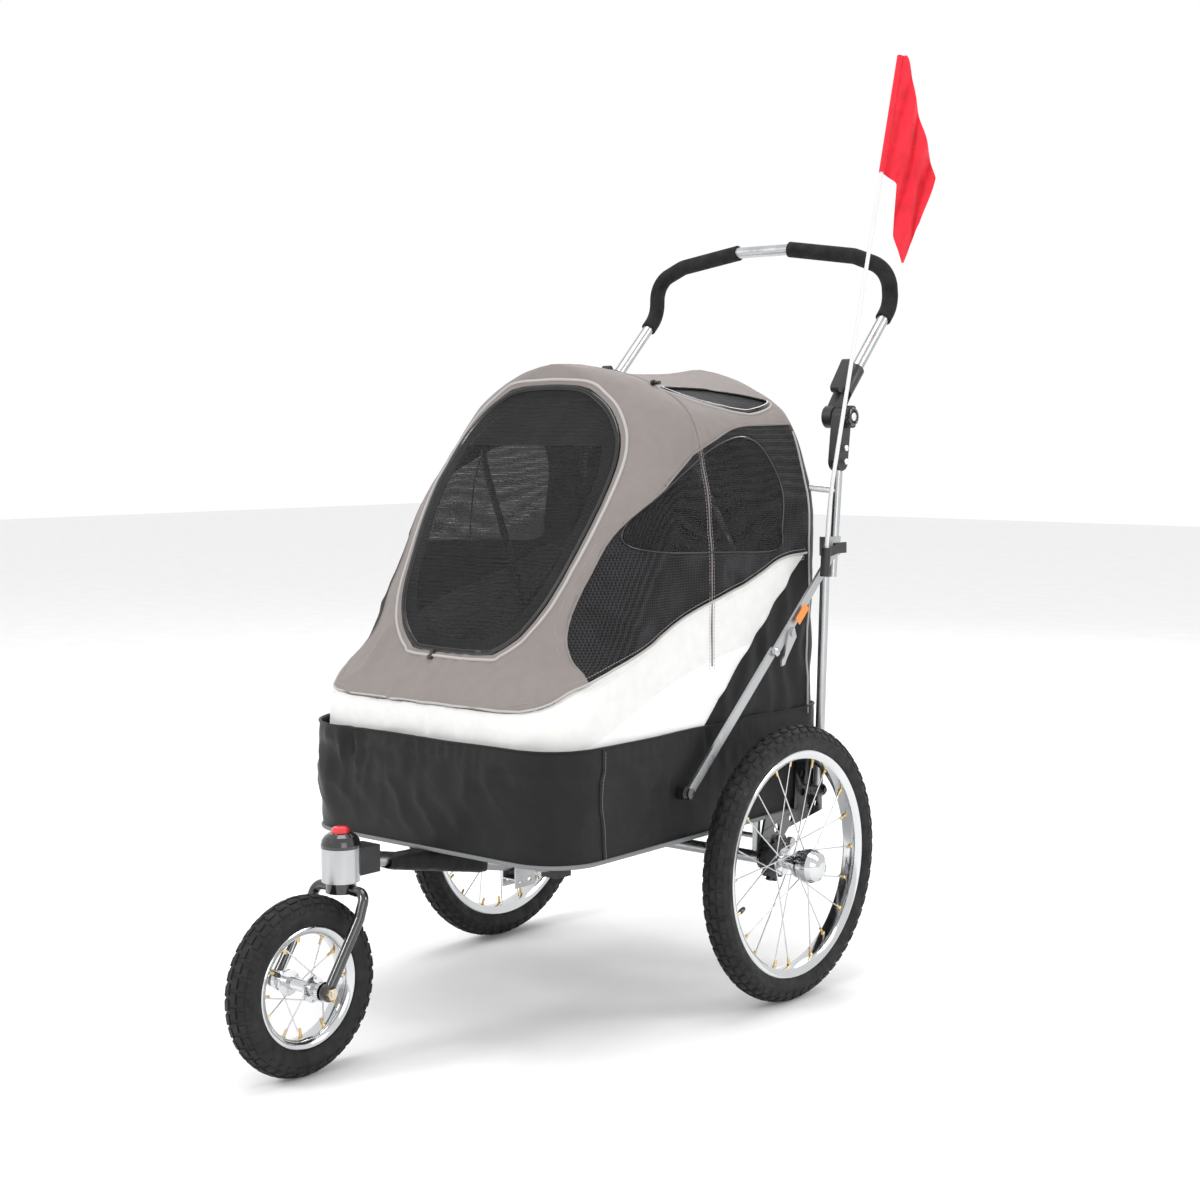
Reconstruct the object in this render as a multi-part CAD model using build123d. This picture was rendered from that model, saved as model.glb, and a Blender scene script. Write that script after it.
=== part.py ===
from build123d import *
import math
import os

# Three-wheeled pet stroller. Millimetres; +Z up, the front looks along -Y, +X is its left side.
# Y values below are measured from the rear axle; every piece is moved by ORIGIN_Y on export, so
# that the row's origin is on the ground under the middle of the whole stroller.
ORIGIN_Y = 222.27

# Wheels
WHEEL_X = 287.0
REAR_R, REAR_TYRE_R, REAR_RIM_R = 200.0, 22.5, 165.0
FRONT_R, FRONT_TYRE_R, FRONT_RIM_R = 117.0, 24.0, 79.0
FRONT_AXLE_Y, SWIVEL_Y = -680.0, -610.0
AXLE_R, FRONT_AXLE_R, STEM_R = 6.0, 4.0, 10.0
RUNNING = 0.05
SPOKE_R = 1.0

# Side frame: points are (Y, Z)
STAY_FOOT = (125.0, 285.0)
STAY_HEAD = (145.0, 648.0)
LINK_FOOT = (-208.0, 328.0)
LINK_KNEE = (-11.0, 505.7)
POST_FOOT = (157.0, 603.0)
POST_HEAD = (174.0, 800.0)
HANDLE_PIVOT = (178.0, 842.0)
BOW_PIVOT = (28.0, 470.0)
STAY_X, TUBE_R, WALL = 249.0, 7.0, 1.5
LOWER_LINK_X, UPPER_LINK_X, LINK_T, LINK_W = 257.0, 261.4, 4.0, 14.0
PIN_R = 4.0
FLAG_X, POLE_R = 276.0, 3.0

# Tub and canopy
SKIN = 3.0
TUB_Z, TUB_TOP_Z = 258.0, 412.0
BOARD_Z, BOARD_T, CUSHION_T = 278.5, 6.0, 24.0
BRAKE_Y, BRAKE_Z, BRAKE_ROD_R = 46.0, 219.0, 4.0


def pt(x, yz):
    return (x, yz[0], yz[1])


def x_cyl(x0, x1, r, y=0.0, z=0.0):
    """A cylinder along X from x0 to x1."""
    plane = Plane(origin=(x0, y, z), x_dir=(0, 1, 0), z_dir=(1, 0, 0))
    return extrude(plane * Circle(r), x1 - x0)


def block(x0, x1, y0, y1, z0, z1):
    return Pos((x0 + x1) / 2, (y0 + y1) / 2, (z0 + z1) / 2) * Box(x1 - x0, y1 - y0, z1 - z0)


def swept(path, r, wall=0.0):
    """A round tube along a path; wall 0 makes it solid."""
    plane = Plane(origin=path @ 0, z_dir=path % 0)
    outer = sweep(plane * Circle(r), path=path)
    if wall:
        return outer - sweep(plane * Circle(r - wall), path=path)
    return outer


def bent(points, radius):
    """Straight runs joined by arcs; the points need not lie in one plane."""
    points = [Vector(*p) for p in points]
    edges = []
    start = points[0]
    for before, corner, after in zip(points, points[1:], points[2:]):
        d1, d2 = (corner - before).normalized(), (after - corner).normalized()
        half = math.radians(d1.get_angle(d2)) / 2
        enter, leave = corner - d1 * (radius * math.tan(half)), corner + d2 * (radius * math.tan(half))
        inward = (d2 - d1).normalized()
        middle = corner + inward * (radius / math.cos(half) - radius)
        edges += [Edge.make_line(start, enter), Edge.make_three_point_arc(enter, middle, leave)]
        start = leave
    edges.append(Edge.make_line(start, points[-1]))
    return Wire(edges)


def both_sides(shape):
    return Compound(children=[shape, mirror(shape, about=Plane.YZ)])


def mirrored(shape):
    return mirror(shape, about=Plane.YZ)


def side_prism(points, x0=-400.0, x1=400.0):
    """The solid between x0 and x1 whose side view is the (Y, Z) outline."""
    plane = Plane(origin=(x0, 0, 0), x_dir=(0, 1, 0), z_dir=(1, 0, 0))
    return extrude(plane * make_face(Polyline(*points, close=True)), x1 - x0)


def bar(p, q, x0, x1, width):
    """A flat bar with round ends between two (Y, Z) points."""
    dy, dz = q[0] - p[0], q[1] - p[1]
    length = math.hypot(dy, dz)
    ny, nz = -dz / length * width / 2, dy / length * width / 2
    corners = [(p[0] + ny, p[1] + nz), (q[0] + ny, q[1] + nz), (q[0] - ny, q[1] - nz), (p[0] - ny, p[1] - nz)]
    body = side_prism(corners, x0, x1)
    for y, z in (p, q):
        body += x_cyl(x0, x1, width / 2, y, z)
    return body


def revolve_x(points, x, y, z):
    """Turns an (X, radius) outline about the X axis and moves it to (x, y, z)."""
    face = make_face(Polyline(*[(px, 0, pr) for px, pr in points], close=True))
    return Pos(x, y, z) * revolve(face, axis=Axis.X)


# ---- soft shell -------------------------------------------------------------------------------

def outline(front_w, rear_w, front_y, rear_y, front_r, rear_r, z):
    """One level of the tub or canopy: a tapered rectangle with round corners."""
    corners = [(-front_w, front_y), (front_w, front_y), (rear_w, rear_y), (-rear_w, rear_y)]
    face = make_face(Polyline(*corners, close=True))
    front = [v for v in face.vertices() if v.Y < (front_y + rear_y) / 2]
    face = fillet(front, front_r)
    rear = [v for v in face.vertices() if abs(v.Y - rear_y) < 0.01]
    face = fillet(rear, rear_r)
    return Pos(0, 0, z) * face.faces()[0]


def stacked(levels, inset=0.0, drop=0.0):
    """A solid through the levels; inset makes it thinner all round."""
    faces = []
    for fw, rw, fy, ry, fr, rr, z in levels:
        faces.append(outline(fw - inset, rw - inset, fy + inset * 1.15, ry - inset,
                             max(fr - inset, 2), max(rr - inset, 2), z - drop))
    return loft(faces, ruled=True)


CANOPY = [
    (241, 232, -456, 155, 80, 40, 398),
    (240, 231, -458, 155, 100, 40, 455),
    (238, 231, -403, 157, 110, 40, 520),
    (236, 231, -351, 158, 112, 40, 610),
    (231, 230, -289, 158, 106, 40, 715),
    (217, 216, -252, 157, 104, 44, 775),
    (197, 197, -219, 155, 96, 48, 831),
    (172, 172, -204, 153, 84, 50, 862),
    (118, 118, -197, 151, 58, 45, 891),
    (62, 62, -192, 149, 32, 30, 908),
    (14, 14, -188, 147, 10, 10, 916),
]
BAND_TOP = [(-458, 455), (-430, 466), (-400, 482), (-378, 491), (-320, 514), (-270, 533), (-187, 568),
            (-40, 606), (42, 635), (108, 641)]
SEAM = [(-378, 491), (-371, 549), (-288, 680), (-205, 745), (-142, 788)]
BOW_SEAM = [(-142, 788), (-122, 850), (-108, 905), (-106, 960)]
ROOF_EDGE = [(-142, 788), (-90, 806), (-28, 825), (40, 830), (300, 831)]
WINDOW = [(-271, 695), (-205, 742), (-140, 776), (-75, 802), (-17, 812), (22, 800), (46, 765), (54, 725),
          (49, 680), (37, 649), (-81, 651), (-262, 661)]
DOOR_HALF = [(0, 60), (9, 85), (24, 104), (42, 119), (81, 138), (140, 151), (210, 160), (271, 163),
             (333, 154), (376, 130), (402, 100), (420, 55)]
DOOR_PLANE = Plane(origin=(0, -404, 519), x_dir=(1, 0, 0), z_dir=(0, -0.8602, 0.51))
VENT = [(134, -112), (160, -60), (176, 0), (178, 50), (166, 101), (140, 62), (120, 10), (118, -50)]


def door_prism(inset):
    """The door's outline, made smaller by inset, as a prism square to the front slope."""
    half = []
    for s, w in DOOR_HALF:
        centre_s = 213.0
        scale = 1.0 - inset / 213.0
        half.append((w - inset, centre_s + (s - centre_s) * scale))
    points = half + [(-w, s) for w, s in reversed(half)]
    face = make_face(Spline(*points, periodic=True))
    return extrude(DOOR_PLANE * face, 70) + extrude(DOOR_PLANE * face, -80)


def canopy_pieces():
    shell = stacked(CANOPY) - stacked(CANOPY, SKIN, SKIN * 0.9)
    shell -= block(-400, 400, -900, 900, 300, 398.1)
    band_zone = side_prism([(-800, 300), (-800, 455)] + BAND_TOP + [(-145, 412), (-158, 300)])
    front_zone = side_prism([(-800, 455)] + BAND_TOP[:4] + SEAM[1:] + BOW_SEAM[1:] + [(-800, 960)])
    roof_zone = side_prism(ROOF_EDGE + [(300, 960)] + BOW_SEAM[::-1][:-1])
    side_zone = side_prism(BAND_TOP[3:] + [(118, 641), (118, 830.3)] + ROOF_EDGE[3:0:-1] + SEAM[::-1][:-1])
    window_zone = side_prism(WINDOW)
    door_hole = door_prism(0.0)
    vent_hole = Pos(0, 0, 700) * extrude(make_face(Spline(*VENT, periodic=True)), 300)
    band = shell & band_zone
    front = (shell & front_zone) - door_hole
    roof = (shell & roof_zone) - vent_hole
    side = (shell & side_zone) - window_zone
    rest = shell - band_zone - front_zone - roof_zone - side_zone
    eyelet = swept(Line(BOW_FOOT, BOW_ROOT), 7.5)
    eyelets = eyelet + mirrored(eyelet)
    rest, side = rest - eyelets, side - eyelets
    door_shell = shell & door_prism(0.8)
    return {
        "band": band, "canopy_front": front, "canopy_roof": roof, "rear_panel": rest,
        "side_panels": side,
        "windows": shell & side_zone & window_zone,
        "roof_vent": shell & roof_zone & vent_hole,
        "door_mesh": door_shell & door_prism(14.0),
        "door_border": door_shell - door_prism(14.0),
    }


TUB = [(247, 234, -462, 160, 75, 40, TUB_Z), (249, 235, -468, 162, 80, 40, TUB_TOP_Z)]


def tub_pieces():
    inner = [TUB[0][:6] + (TUB_Z + SKIN,), TUB[1][:6] + (TUB_TOP_Z + 0.1,)]
    tub = stacked(TUB) - stacked(inner, SKIN)
    frame_corners = [(-229, -444, 270), (229, -444, 270), (219, 146, 270), (-219, 146, 270)]
    loop = FilletPolyline(*frame_corners, radius=58, close=True)
    solid = swept(loop, 8.0)
    hollow = swept(loop, 6.5)
    for y, x in ((-188.0, 222.0), (125.0, 217.0)):
        solid += x_cyl(-x, x, 8.0, y, 270.0)
        hollow += x_cyl(-x, x, 6.5, y, 270.0)
    left, right = bow_posts()
    frame = Compound(children=[solid - hollow, left, right])
    board = extrude(outline(239, 227, -452, 153, 70, 34, BOARD_Z), BOARD_T) - posts_room()
    top = BOARD_Z + BOARD_T
    cushion = extrude(outline(234, 222, -446, 148, 66, 30, top), CUSHION_T) - posts_room()
    return {"tub": tub, "floor_frame": frame, "floor_board": board, "floor_cushion": cushion}


def posts_room():
    return both_sides(block(212, 250, BOW_PIVOT[0] - 12, BOW_PIVOT[0] + 12, 270, 340))


def bow_posts():
    """Upright flats that carry the front bow's pins."""
    y, z = BOW_PIVOT
    post = block(213.5, 217.0, y - 9, y + 9, 278.2, z) + x_cyl(213.5, 217.0, 9, y, z)
    pin = x_cyl(217.0, 229.3, PIN_R, y, z)
    return post + pin, mirrored(post + pin)


# ---- chassis ----------------------------------------------------------------------------------

ARM_TOP = (-572.0, 264.0)
ARM_END = (-186.0, 186.0)


def arm_z(y):
    return ARM_TOP[1] + (y - ARM_TOP[0]) * (ARM_END[1] - ARM_TOP[1]) / (ARM_END[0] - ARM_TOP[0])


def arm_pieces():
    path = Line(pt(0, ARM_TOP), pt(0, ARM_END))
    arm = swept(path, 10.0, 1.8)
    start, end = (0, -530, arm_z(-530)), (0, -352, arm_z(-352))
    sleeve_path = Line(start, end)
    plane = Plane(origin=start, x_dir=(1, 0, 0), z_dir=sleeve_path % 0)
    sleeve = sweep(plane * (RectangleRounded(34, 30, 9) - Circle(10.0)), path=sleeve_path)
    sleeve -= block(-60, 60, -700, 0, TUB_Z - 0.5, 400)
    whole = swept(path, 10.0)
    bracket = block(-17, 17, -592, -556, 246, 282) - whole - z_cyl(25.0, 240, 290, SWIVEL_Y)
    end_z = arm_z(-188)
    rear_block = block(-15, 15, -204, -172, end_z - 15, end_z + 15) + block(-10, 10, -198, -178, end_z, TUB_Z)
    pad = block(-14, 14, -450, -425, arm_z(-437), TUB_Z) - whole - sleeve
    brackets = Compound(children=[bracket, rear_block - whole, pad])
    hitch = block(-13, 13, -290, -248, arm_z(-268) - 30, arm_z(-268) + 12)
    hitch -= block(-11, 11, -300, -240, 100, 300)
    hole_z = arm_z(-268) - 20
    hitch -= x_cyl(-20, 20, 4, -279, hole_z) + x_cyl(-20, 20, 4, -260, hole_z)
    bridge = block(-13, 13, -290, -248, arm_z(-248) - 14.5, arm_z(-248) - 12.5)
    hitch = hitch + bridge
    return {"arm_tube": arm, "arm_sleeve": sleeve, "arm_brackets": brackets, "hitch_bracket": hitch}


def z_cyl(r, z0, z1, y, x=0.0):
    return Pos(x, y, (z0 + z1) / 2) * Cylinder(r, z1 - z0)


def revolve_z(points, y):
    face = make_face(Polyline(*[(r, 0, z) for r, z in points], close=True))
    return Pos(0, y, 0) * revolve(face, axis=Axis.Z)


def swivel_pieces():
    bore = STEM_R + RUNNING
    housing = z_cyl(25.0, 240.5, 285.0, SWIVEL_Y) - z_cyl(bore, 240.0, 282.0, SWIVEL_Y)
    dome = [(0, 285), (26, 285), (26, 289), (24.5, 295), (21, 300), (16, 303.5), (11.8, 304.5),
            (11.8, 296), (0, 296)]
    cap = revolve_z(dome, SWIVEL_Y)
    button = revolve_z([(0, 301), (11.5, 301), (11.5, 308.5), (9.5, 311), (5, 312.2), (0, 312.5)], SWIVEL_Y)
    crown = z_cyl(20.0, 226.0, 239.5, SWIVEL_Y) + z_cyl(STEM_R, 239.0, 280.0, SWIVEL_Y)
    points = [(14, SWIVEL_Y, 231.5), (46, SWIVEL_Y - 1, 230), (48.5, SWIVEL_Y - 14, 200),
              (50, FRONT_AXLE_Y, FRONT_R)]
    blade = swept(FilletPolyline(*points, radius=13), 7.0)
    tip = x_cyl(46.0, 54.0, 11.0, FRONT_AXLE_Y, FRONT_R)
    fork = crown + blade + mirrored(blade) + tip + mirrored(tip)
    fork -= x_cyl(-80, 80, FRONT_AXLE_R, FRONT_AXLE_Y, FRONT_R)
    fork -= x_cyl(-46, 46, 17.0, FRONT_AXLE_Y, FRONT_R)
    fork -= x_cyl(54, 62, 10.0, FRONT_AXLE_Y, FRONT_R) + x_cyl(-62, -54, 10.0, FRONT_AXLE_Y, FRONT_R)
    fork = fork - z_cyl(9.0, 100, 226.0, SWIVEL_Y) - z_cyl(26.0, 239.7, 300, SWIVEL_Y)
    fork += z_cyl(STEM_R, 239.0, 280.0, SWIVEL_Y)
    axle = x_cyl(-62, 62, FRONT_AXLE_R, FRONT_AXLE_Y, FRONT_R)
    nut_plane = Plane(origin=(54.0, FRONT_AXLE_Y, FRONT_R), x_dir=(0, 1, 0), z_dir=(1, 0, 0))
    nut = extrude(nut_plane * RegularPolygon(8.0, 6), 6.5)
    axle = axle + nut + mirrored(nut)
    return {"swivel_housing": housing, "swivel_cap": cap, "lock_button": button, "fork": fork,
            "front_axle": axle}


def axle_pieces():
    axle = x_cyl(-248, 248, 9.0, 0, REAR_R) + x_cyl(-324, 324, AXLE_R, 0, REAR_R)
    y, z = STAY_FOOT
    plate_points = [(-16, 200), (-12, 214), (2, 262), (74, 262), (80, 332), (146, 332), (149, 250),
                    (60, 236), (16, 196)]
    plate = side_prism(plate_points, 236.5, 240.5) + x_cyl(236.5, 240.5, 16.0, 0, REAR_R)
    plate += x_cyl(236.5, 240.5, 9.0, BRAKE_Y, BRAKE_Z)
    plate -= x_cyl(230, 245, BRAKE_ROD_R + RUNNING, BRAKE_Y, BRAKE_Z)
    plate -= stacked(TUB)
    for hy, hz, hr in ((96, 312, 7), (96, 284, 6), (66, 249, 5), (30, 240, 7), (132, 262, 5), (112, 262, 5)):
        plate -= x_cyl(230, 245, hr, hy, hz)
    plate -= x_cyl(200, 300, 9.0, 0, REAR_R)
    plate += x_cyl(240.0, 262.0, PIN_R, y, z) + x_cyl(256.3, 259.0, 7.5, y, z)
    plate -= x_cyl(230, 245, PIN_R * 0.5, y + 14, z + 34)
    strut = z_cyl(6.0, 208.0, TUB_Z, 4.0, 222.0)
    strut -= x_cyl(200, 260, 9.0, 0, REAR_R)
    return {"rear_axle": Compound(children=[axle, strut, mirrored(strut)]), "axle_plates": both_sides(plate)}


def link_brackets(tub_solid):
    y, z = LINK_FOOT
    boss = x_cyl(238.0, 256.7, 10.0, y, z) - tub_solid
    pin = x_cyl(256.0, 262.5, PIN_R, y, z) + x_cyl(261.3, 264.0, 7.5, y, z)
    return both_sides(boss + pin)


def brake_bar():
    rod = x_cyl(-250, 250, BRAKE_ROD_R, BRAKE_Y, BRAKE_Z)
    pedal = block(-32, 32, BRAKE_Y - 2, BRAKE_Y + 46, BRAKE_Z - 10, BRAKE_Z - 2)
    tip = (BRAKE_Y - 12.7, BRAKE_Z - 16.5)
    pawl = side_prism([(BRAKE_Y - 4.0, BRAKE_Z + 3.0), tip, (BRAKE_Y + 4.0, BRAKE_Z - 3.0)], 250, 258)
    collar = x_cyl(250, 258, 7.0, BRAKE_Y, BRAKE_Z)
    return rod + pedal + pawl + collar + mirrored(pawl) + mirrored(collar)


# ---- wheels -----------------------------------------------------------------------------------

def tyre(outer_r, section_r, rim_r, half_rim, wall):
    """A hollow tyre section, open where the rim closes it."""
    mid = outer_r - section_r
    ring = Plane.XZ * (Pos(0, mid) * (Circle(section_r) - Circle(section_r - wall)))
    ring -= Plane.XZ * (Pos(0, rim_r - 40) * Rectangle(2 * half_rim, 80))
    return revolve(ring, axis=Axis.X)


def rim(rim_r, half_w, depth):
    bed = rim_r - depth * 0.5
    inner = rim_r - depth
    points = [(-half_w, rim_r), (-half_w, bed - 1), (-half_w * 0.6, inner), (half_w * 0.6, inner),
              (half_w, bed - 1), (half_w, rim_r), (half_w - 2, rim_r), (half_w - 2, bed + 1),
              (2 - half_w, bed + 1), (2 - half_w, rim_r)]
    return revolve_x(points, 0, 0, 0)


def valve(inner_r, half):
    stem = Pos(0, 0, inner_r - 11) * Cylinder(2.2, 24)
    cap = Pos(0, 0, inner_r - 25) * Cylinder(3.4, 9)
    return Rot(half, 0, 0) * (stem + cap)


def spokes(count, hub_r, hub_x, rim_inner, lean):
    """Thin spokes from the two hub flanges to the rim, alternately leaning each way."""
    rods = []
    for i in range(count):
        side = 1 if i % 2 else -1
        slant = lean if (i // 2) % 2 else -lean
        at_rim = math.radians(360.0 * i / count)
        at_hub = at_rim + math.radians(slant)
        p = Vector(side * hub_x, hub_r * math.sin(at_hub), hub_r * math.cos(at_hub))
        q = Vector(side * 3.0, rim_inner * math.sin(at_rim), rim_inner * math.cos(at_rim))
        plane = Plane(origin=p, z_dir=(q - p))
        rods.append(extrude(plane * Circle(SPOKE_R), (q - p).length))
    return Compound(children=rods)


def rear_wheel():
    inner = REAR_RIM_R - 14
    hub = [(-37, AXLE_R + RUNNING), (-37, 12), (-18, 12), (-16, 20), (-13, 20), (-11, 10), (11, 10),
           (13, 20), (16, 20), (18, 13), (20, 13), (22, 23), (30, 24.5), (38, 24), (45, 21), (50, 15),
           (53, 8), (54, 0), (40, 0), (40, AXLE_R + RUNNING)]
    disc_plane = Plane(origin=(-34, 0, 0), x_dir=(0, 1, 0), z_dir=(1, 0, 0))
    disc = extrude(disc_plane * (Circle(31) - Circle(12)), 7)
    for i in range(12):
        notch = Pos(-30, 0, 0) * Rot(30.0 * i + 18, 0, 0) * (Pos(0, 0, 31) * Box(12, 9, 9))
        disc -= notch
    hub_solid = revolve_x(hub, 0, 0, 0)
    rim_solid = rim(REAR_RIM_R, 15.0, 14.0) - Rot(111, 0, 0) * (Pos(0, 0, inner + 5) * Cylinder(2.25, 30))
    return {
        "rear_tyre": tyre(REAR_R, REAR_TYRE_R, REAR_RIM_R, 15.1, 4.0),
        "rear_rim": Compound(children=[rim_solid, valve(inner + 4, 111)]),
        "rear_spokes": spokes(20, 19.0, 14.5, inner + 0.6, 68), "rear_hub": hub_solid, "brake_disc": disc,
    }


def front_wheel():
    inner = FRONT_RIM_R - 12
    hub = [(-44, FRONT_AXLE_R + RUNNING), (-44, 13), (-38, 13), (-36, 9), (-26, 9), (-25, 17), (-22, 17),
           (-21, 8),
           (21, 8), (22, 17), (25, 17), (26, 9), (36, 9), (38, 13), (44, 13), (44, FRONT_AXLE_R + RUNNING)]
    rim_solid = rim(FRONT_RIM_R, 16.0, 12.0) - Rot(60, 0, 0) * (Pos(0, 0, inner + 5) * Cylinder(2.25, 30))
    return {
        "front_tyre": tyre(FRONT_R, FRONT_TYRE_R, FRONT_RIM_R, 16.1, 4.0),
        "front_rim": Compound(children=[rim_solid, valve(inner + 4, 60)]),
        "front_spokes": spokes(12, 16.0, 23.5, inner + 0.6, 45), "front_hub": revolve_x(hub, 0, 0, 0),
    }


# ---- folding frame and handle -----------------------------------------------------------------

BOW_FOOT, BOW_ROOT = (212, 126, 738), (246, 166, 732)


def rear_frame_pieces():
    y, z = STAY_FOOT
    stay = swept(Line(pt(STAY_X, STAY_FOOT), pt(STAY_X, (139.0, 655.0))), TUBE_R, WALL)
    stay += x_cyl(241.0, 256.2, 9.5, y, z)
    stay -= x_cyl(200, 300, PIN_R + RUNNING, y, z)
    y, z = STAY_HEAD
    lug = side_prism([(131, 636), (166, 636), (168, 664), (131, 664)], 243.0, 256.5)
    lug -= swept(Line(pt(STAY_X, STAY_FOOT), pt(STAY_X, (139.0, 655.0))), TUBE_R)
    lug -= swept(Line(pt(STAY_X, POST_FOOT), pt(STAY_X, POST_HEAD)), 6.5)
    lug += x_cyl(256.0, 267.0, PIN_R, y, z) + x_cyl(256.0, 261.2, 7.0, y, z) + x_cyl(265.8, 268.5, 7.5, y, z)
    post = swept(Line(pt(STAY_X, POST_FOOT), pt(STAY_X, POST_HEAD)), 6.5, WALL)
    ky, kz = HANDLE_PIVOT
    housing = bar((170.0, 776.0), HANDLE_PIVOT, 240.5, 257.0, 29.0)
    housing -= swept(Line(pt(STAY_X, POST_FOOT), pt(STAY_X, POST_HEAD)), 6.5)
    housing += x_cyl(223.5, 262.0, 5.0, ky, kz)
    arch = [BOW_FOOT, (204.6, 120, 773), (182.4, 118, 824), (157, 118, 850), (112, 120, 876), (58, 122, 893),
            (0, 122, 898)]
    arch += [(-x, y, z) for x, y, z in arch[-2::-1]]
    bow = swept(Spline(*arch), 5.0)
    stub = swept(Line(BOW_FOOT, BOW_ROOT), 5.0) + Pos(*BOW_FOOT) * Sphere(5.1)
    stub -= swept(Line(pt(STAY_X, POST_FOOT), pt(STAY_X, POST_HEAD)), 6.5)
    bow = bow + stub + mirrored(stub)
    stays = Compound(children=[stay, lug, mirrored(stay), mirrored(lug)])
    return {"rear_stays": stays, "handle_posts": both_sides(post), "joint_housings": both_sides(housing),
            "rear_bow": bow}


def link_pieces():
    lower = bar(LINK_FOOT, LINK_KNEE, LOWER_LINK_X, LOWER_LINK_X + LINK_T, LINK_W)
    lower -= x_cyl(200, 300, PIN_R + RUNNING, *LINK_FOOT)
    upper = bar(LINK_KNEE, STAY_HEAD, UPPER_LINK_X, UPPER_LINK_X + LINK_T, LINK_W)
    upper -= x_cyl(200, 300, PIN_R + RUNNING, *STAY_HEAD)
    head = revolve_x([(0, 0), (0, 7), (2, 6.4), (3.6, 4.0), (4.2, 0)], UPPER_LINK_X + LINK_T, *LINK_KNEE)
    upper += head
    pivot = (24.0, 530.0)
    x0 = UPPER_LINK_X + LINK_T
    upper += x_cyl(x0, x0 + 4.6, 3.0, *pivot) + x_cyl(x0 + 3.5, x0 + 5.6, 5.0, *pivot)
    hook_points = [(30, 538), (35, 524), (22, 508), (12, 496), (6, 486), (-2, 484), (-2, 492), (5, 498),
                   (8, 508), (16, 532)]
    hook = side_prism(hook_points, x0 + 0.3, x0 + 3.3) - x_cyl(200, 300, 3.0 + RUNNING, *pivot)
    return {"lower_link_left": lower, "lower_link_right": mirrored(lower), "upper_link_left": upper,
            "upper_link_right": mirrored(upper), "latch_left": hook, "latch_right": mirrored(hook)}


def front_bow():
    side = [(223.5, 28, 470), (223.5, 6, 520), (223, -20, 573), (221, -37, 610), (216, -72, 680),
            (207, -106, 740), (199, -128, 784), (180, -140, 824), (146, -148, 855), (88, -150, 880), (0, -150, 893)]
    points = side + [(-x, y, z) for x, y, z in side[-2::-1]]
    tube = swept(Spline(*points), 6.0)
    eye = x_cyl(218.0, 229.0, 9.0, *BOW_PIVOT)
    bow = tube + eye + mirrored(eye)
    return bow - x_cyl(-300, 300, PIN_R + RUNNING, *BOW_PIVOT)


HANDLE_SIDE = [(236, 206, 882), (232, 341, 1017), (229, 338, 1072), (170, 333, 1095), (51, 327, 1112)]
HANDLE_BEND = 45.0
GRIP_START = (232.7, 318.0, 994.0)


def arm_end(share):
    """A point on the handle's lower straight run, 0 at its end and 1 at the first bend."""
    (x0, y0, z0), (x1, y1, z1) = HANDLE_SIDE[:2]
    return (x0 + (x1 - x0) * share, y0 + (y1 - y0) * share, z0 + (z1 - z0) * share)


def handle_pieces():
    across = [(-x, y, z) for x, y, z in HANDLE_SIDE[::-1]]
    tube = swept(bent(HANDLE_SIDE + across, HANDLE_BEND), 9.0, 1.5)
    grip = swept(bent([GRIP_START] + HANDLE_SIDE[1:], HANDLE_BEND), 12.5, 3.5)
    ky, kz = HANDLE_PIVOT
    lug = x_cyl(224.0, 240.0, 17.0, ky, kz) + bar((ky + 6, kz + 7), (205.0, 876.0), 225.0, 240.0, 24.0)
    sleeve = swept(Line(arm_end(-0.03), arm_end(0.24)), 13.0)
    lever = bar((184.0, 886.0), (212.0, 922.0), 229.0, 243.0, 15.0)
    room = swept(Line(arm_end(0.0), arm_end(0.34)), 9.02)
    clamp = (lug + sleeve + lever) - room - x_cyl(200, 300, 5.0 + RUNNING, ky, kz)
    knob = x_cyl(257.6, 268.0, 17.0, ky, kz)
    for i in range(8):
        knob -= Pos(0, ky, kz) * Rot(45.0 * i, 0, 0) * (Pos(262, 0, 19.5) * Rot(0, 90, 0) * Cylinder(4.5, 30))
    knob += x_cyl(268.0, 270.5, 8.0, ky, kz)
    knob -= x_cyl(257.0, 262.4, 5.0 + RUNNING, ky, kz)
    return {"handle_tube": tube, "grips": both_sides(grip), "handle_clamps": both_sides(clamp),
            "knob_left": knob, "knob_right": mirrored(knob)}


# ---- flag -------------------------------------------------------------------------------------

POLE_FOOT, POLE_BEND, POLE_TIP = (95.6, 612.0), (108.0, 725.0), (286.0, 1384.0)


def flag_pieces():
    path = FilletPolyline(pt(FLAG_X, POLE_FOOT), pt(FLAG_X, POLE_BEND), pt(FLAG_X, POLE_TIP), radius=500)
    pole = swept(path, POLE_R)
    lean = Vector(0, POLE_BEND[0] - POLE_FOOT[0], POLE_BEND[1] - POLE_FOOT[1]).normalized()
    foot = Vector(*pt(FLAG_X, POLE_FOOT))
    cup_plane = Plane(origin=foot - lean * 4, z_dir=lean)
    bore_plane = Plane(origin=foot, z_dir=lean)
    cup = extrude(cup_plane * Circle(7.0), 42) - extrude(bore_plane * Circle(POLE_R + RUNNING), 60)
    web = side_prism([(100, 634), (138, 641), (138, 655), (101, 648)], 269.2, 274.0)
    strap = side_prism([(128, 640), (160, 640), (160, 656), (128, 656)], 268.7, 272.0)
    socket = (cup + web + strap) - extrude(bore_plane * Circle(POLE_R + RUNNING), 60)
    return {"flag_pole": pole, "flag_socket": socket, "flag_cloth": pennant()}


FLAG_DIR = (0.766, 0.643)
FLAG_OUTLINE = [(0, 1384), (12, 1377), (80, 1197), (70, 1130), (58, 1096), (54, 1070), (34, 1112),
                (26, 1188), (0, 1206)]


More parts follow.
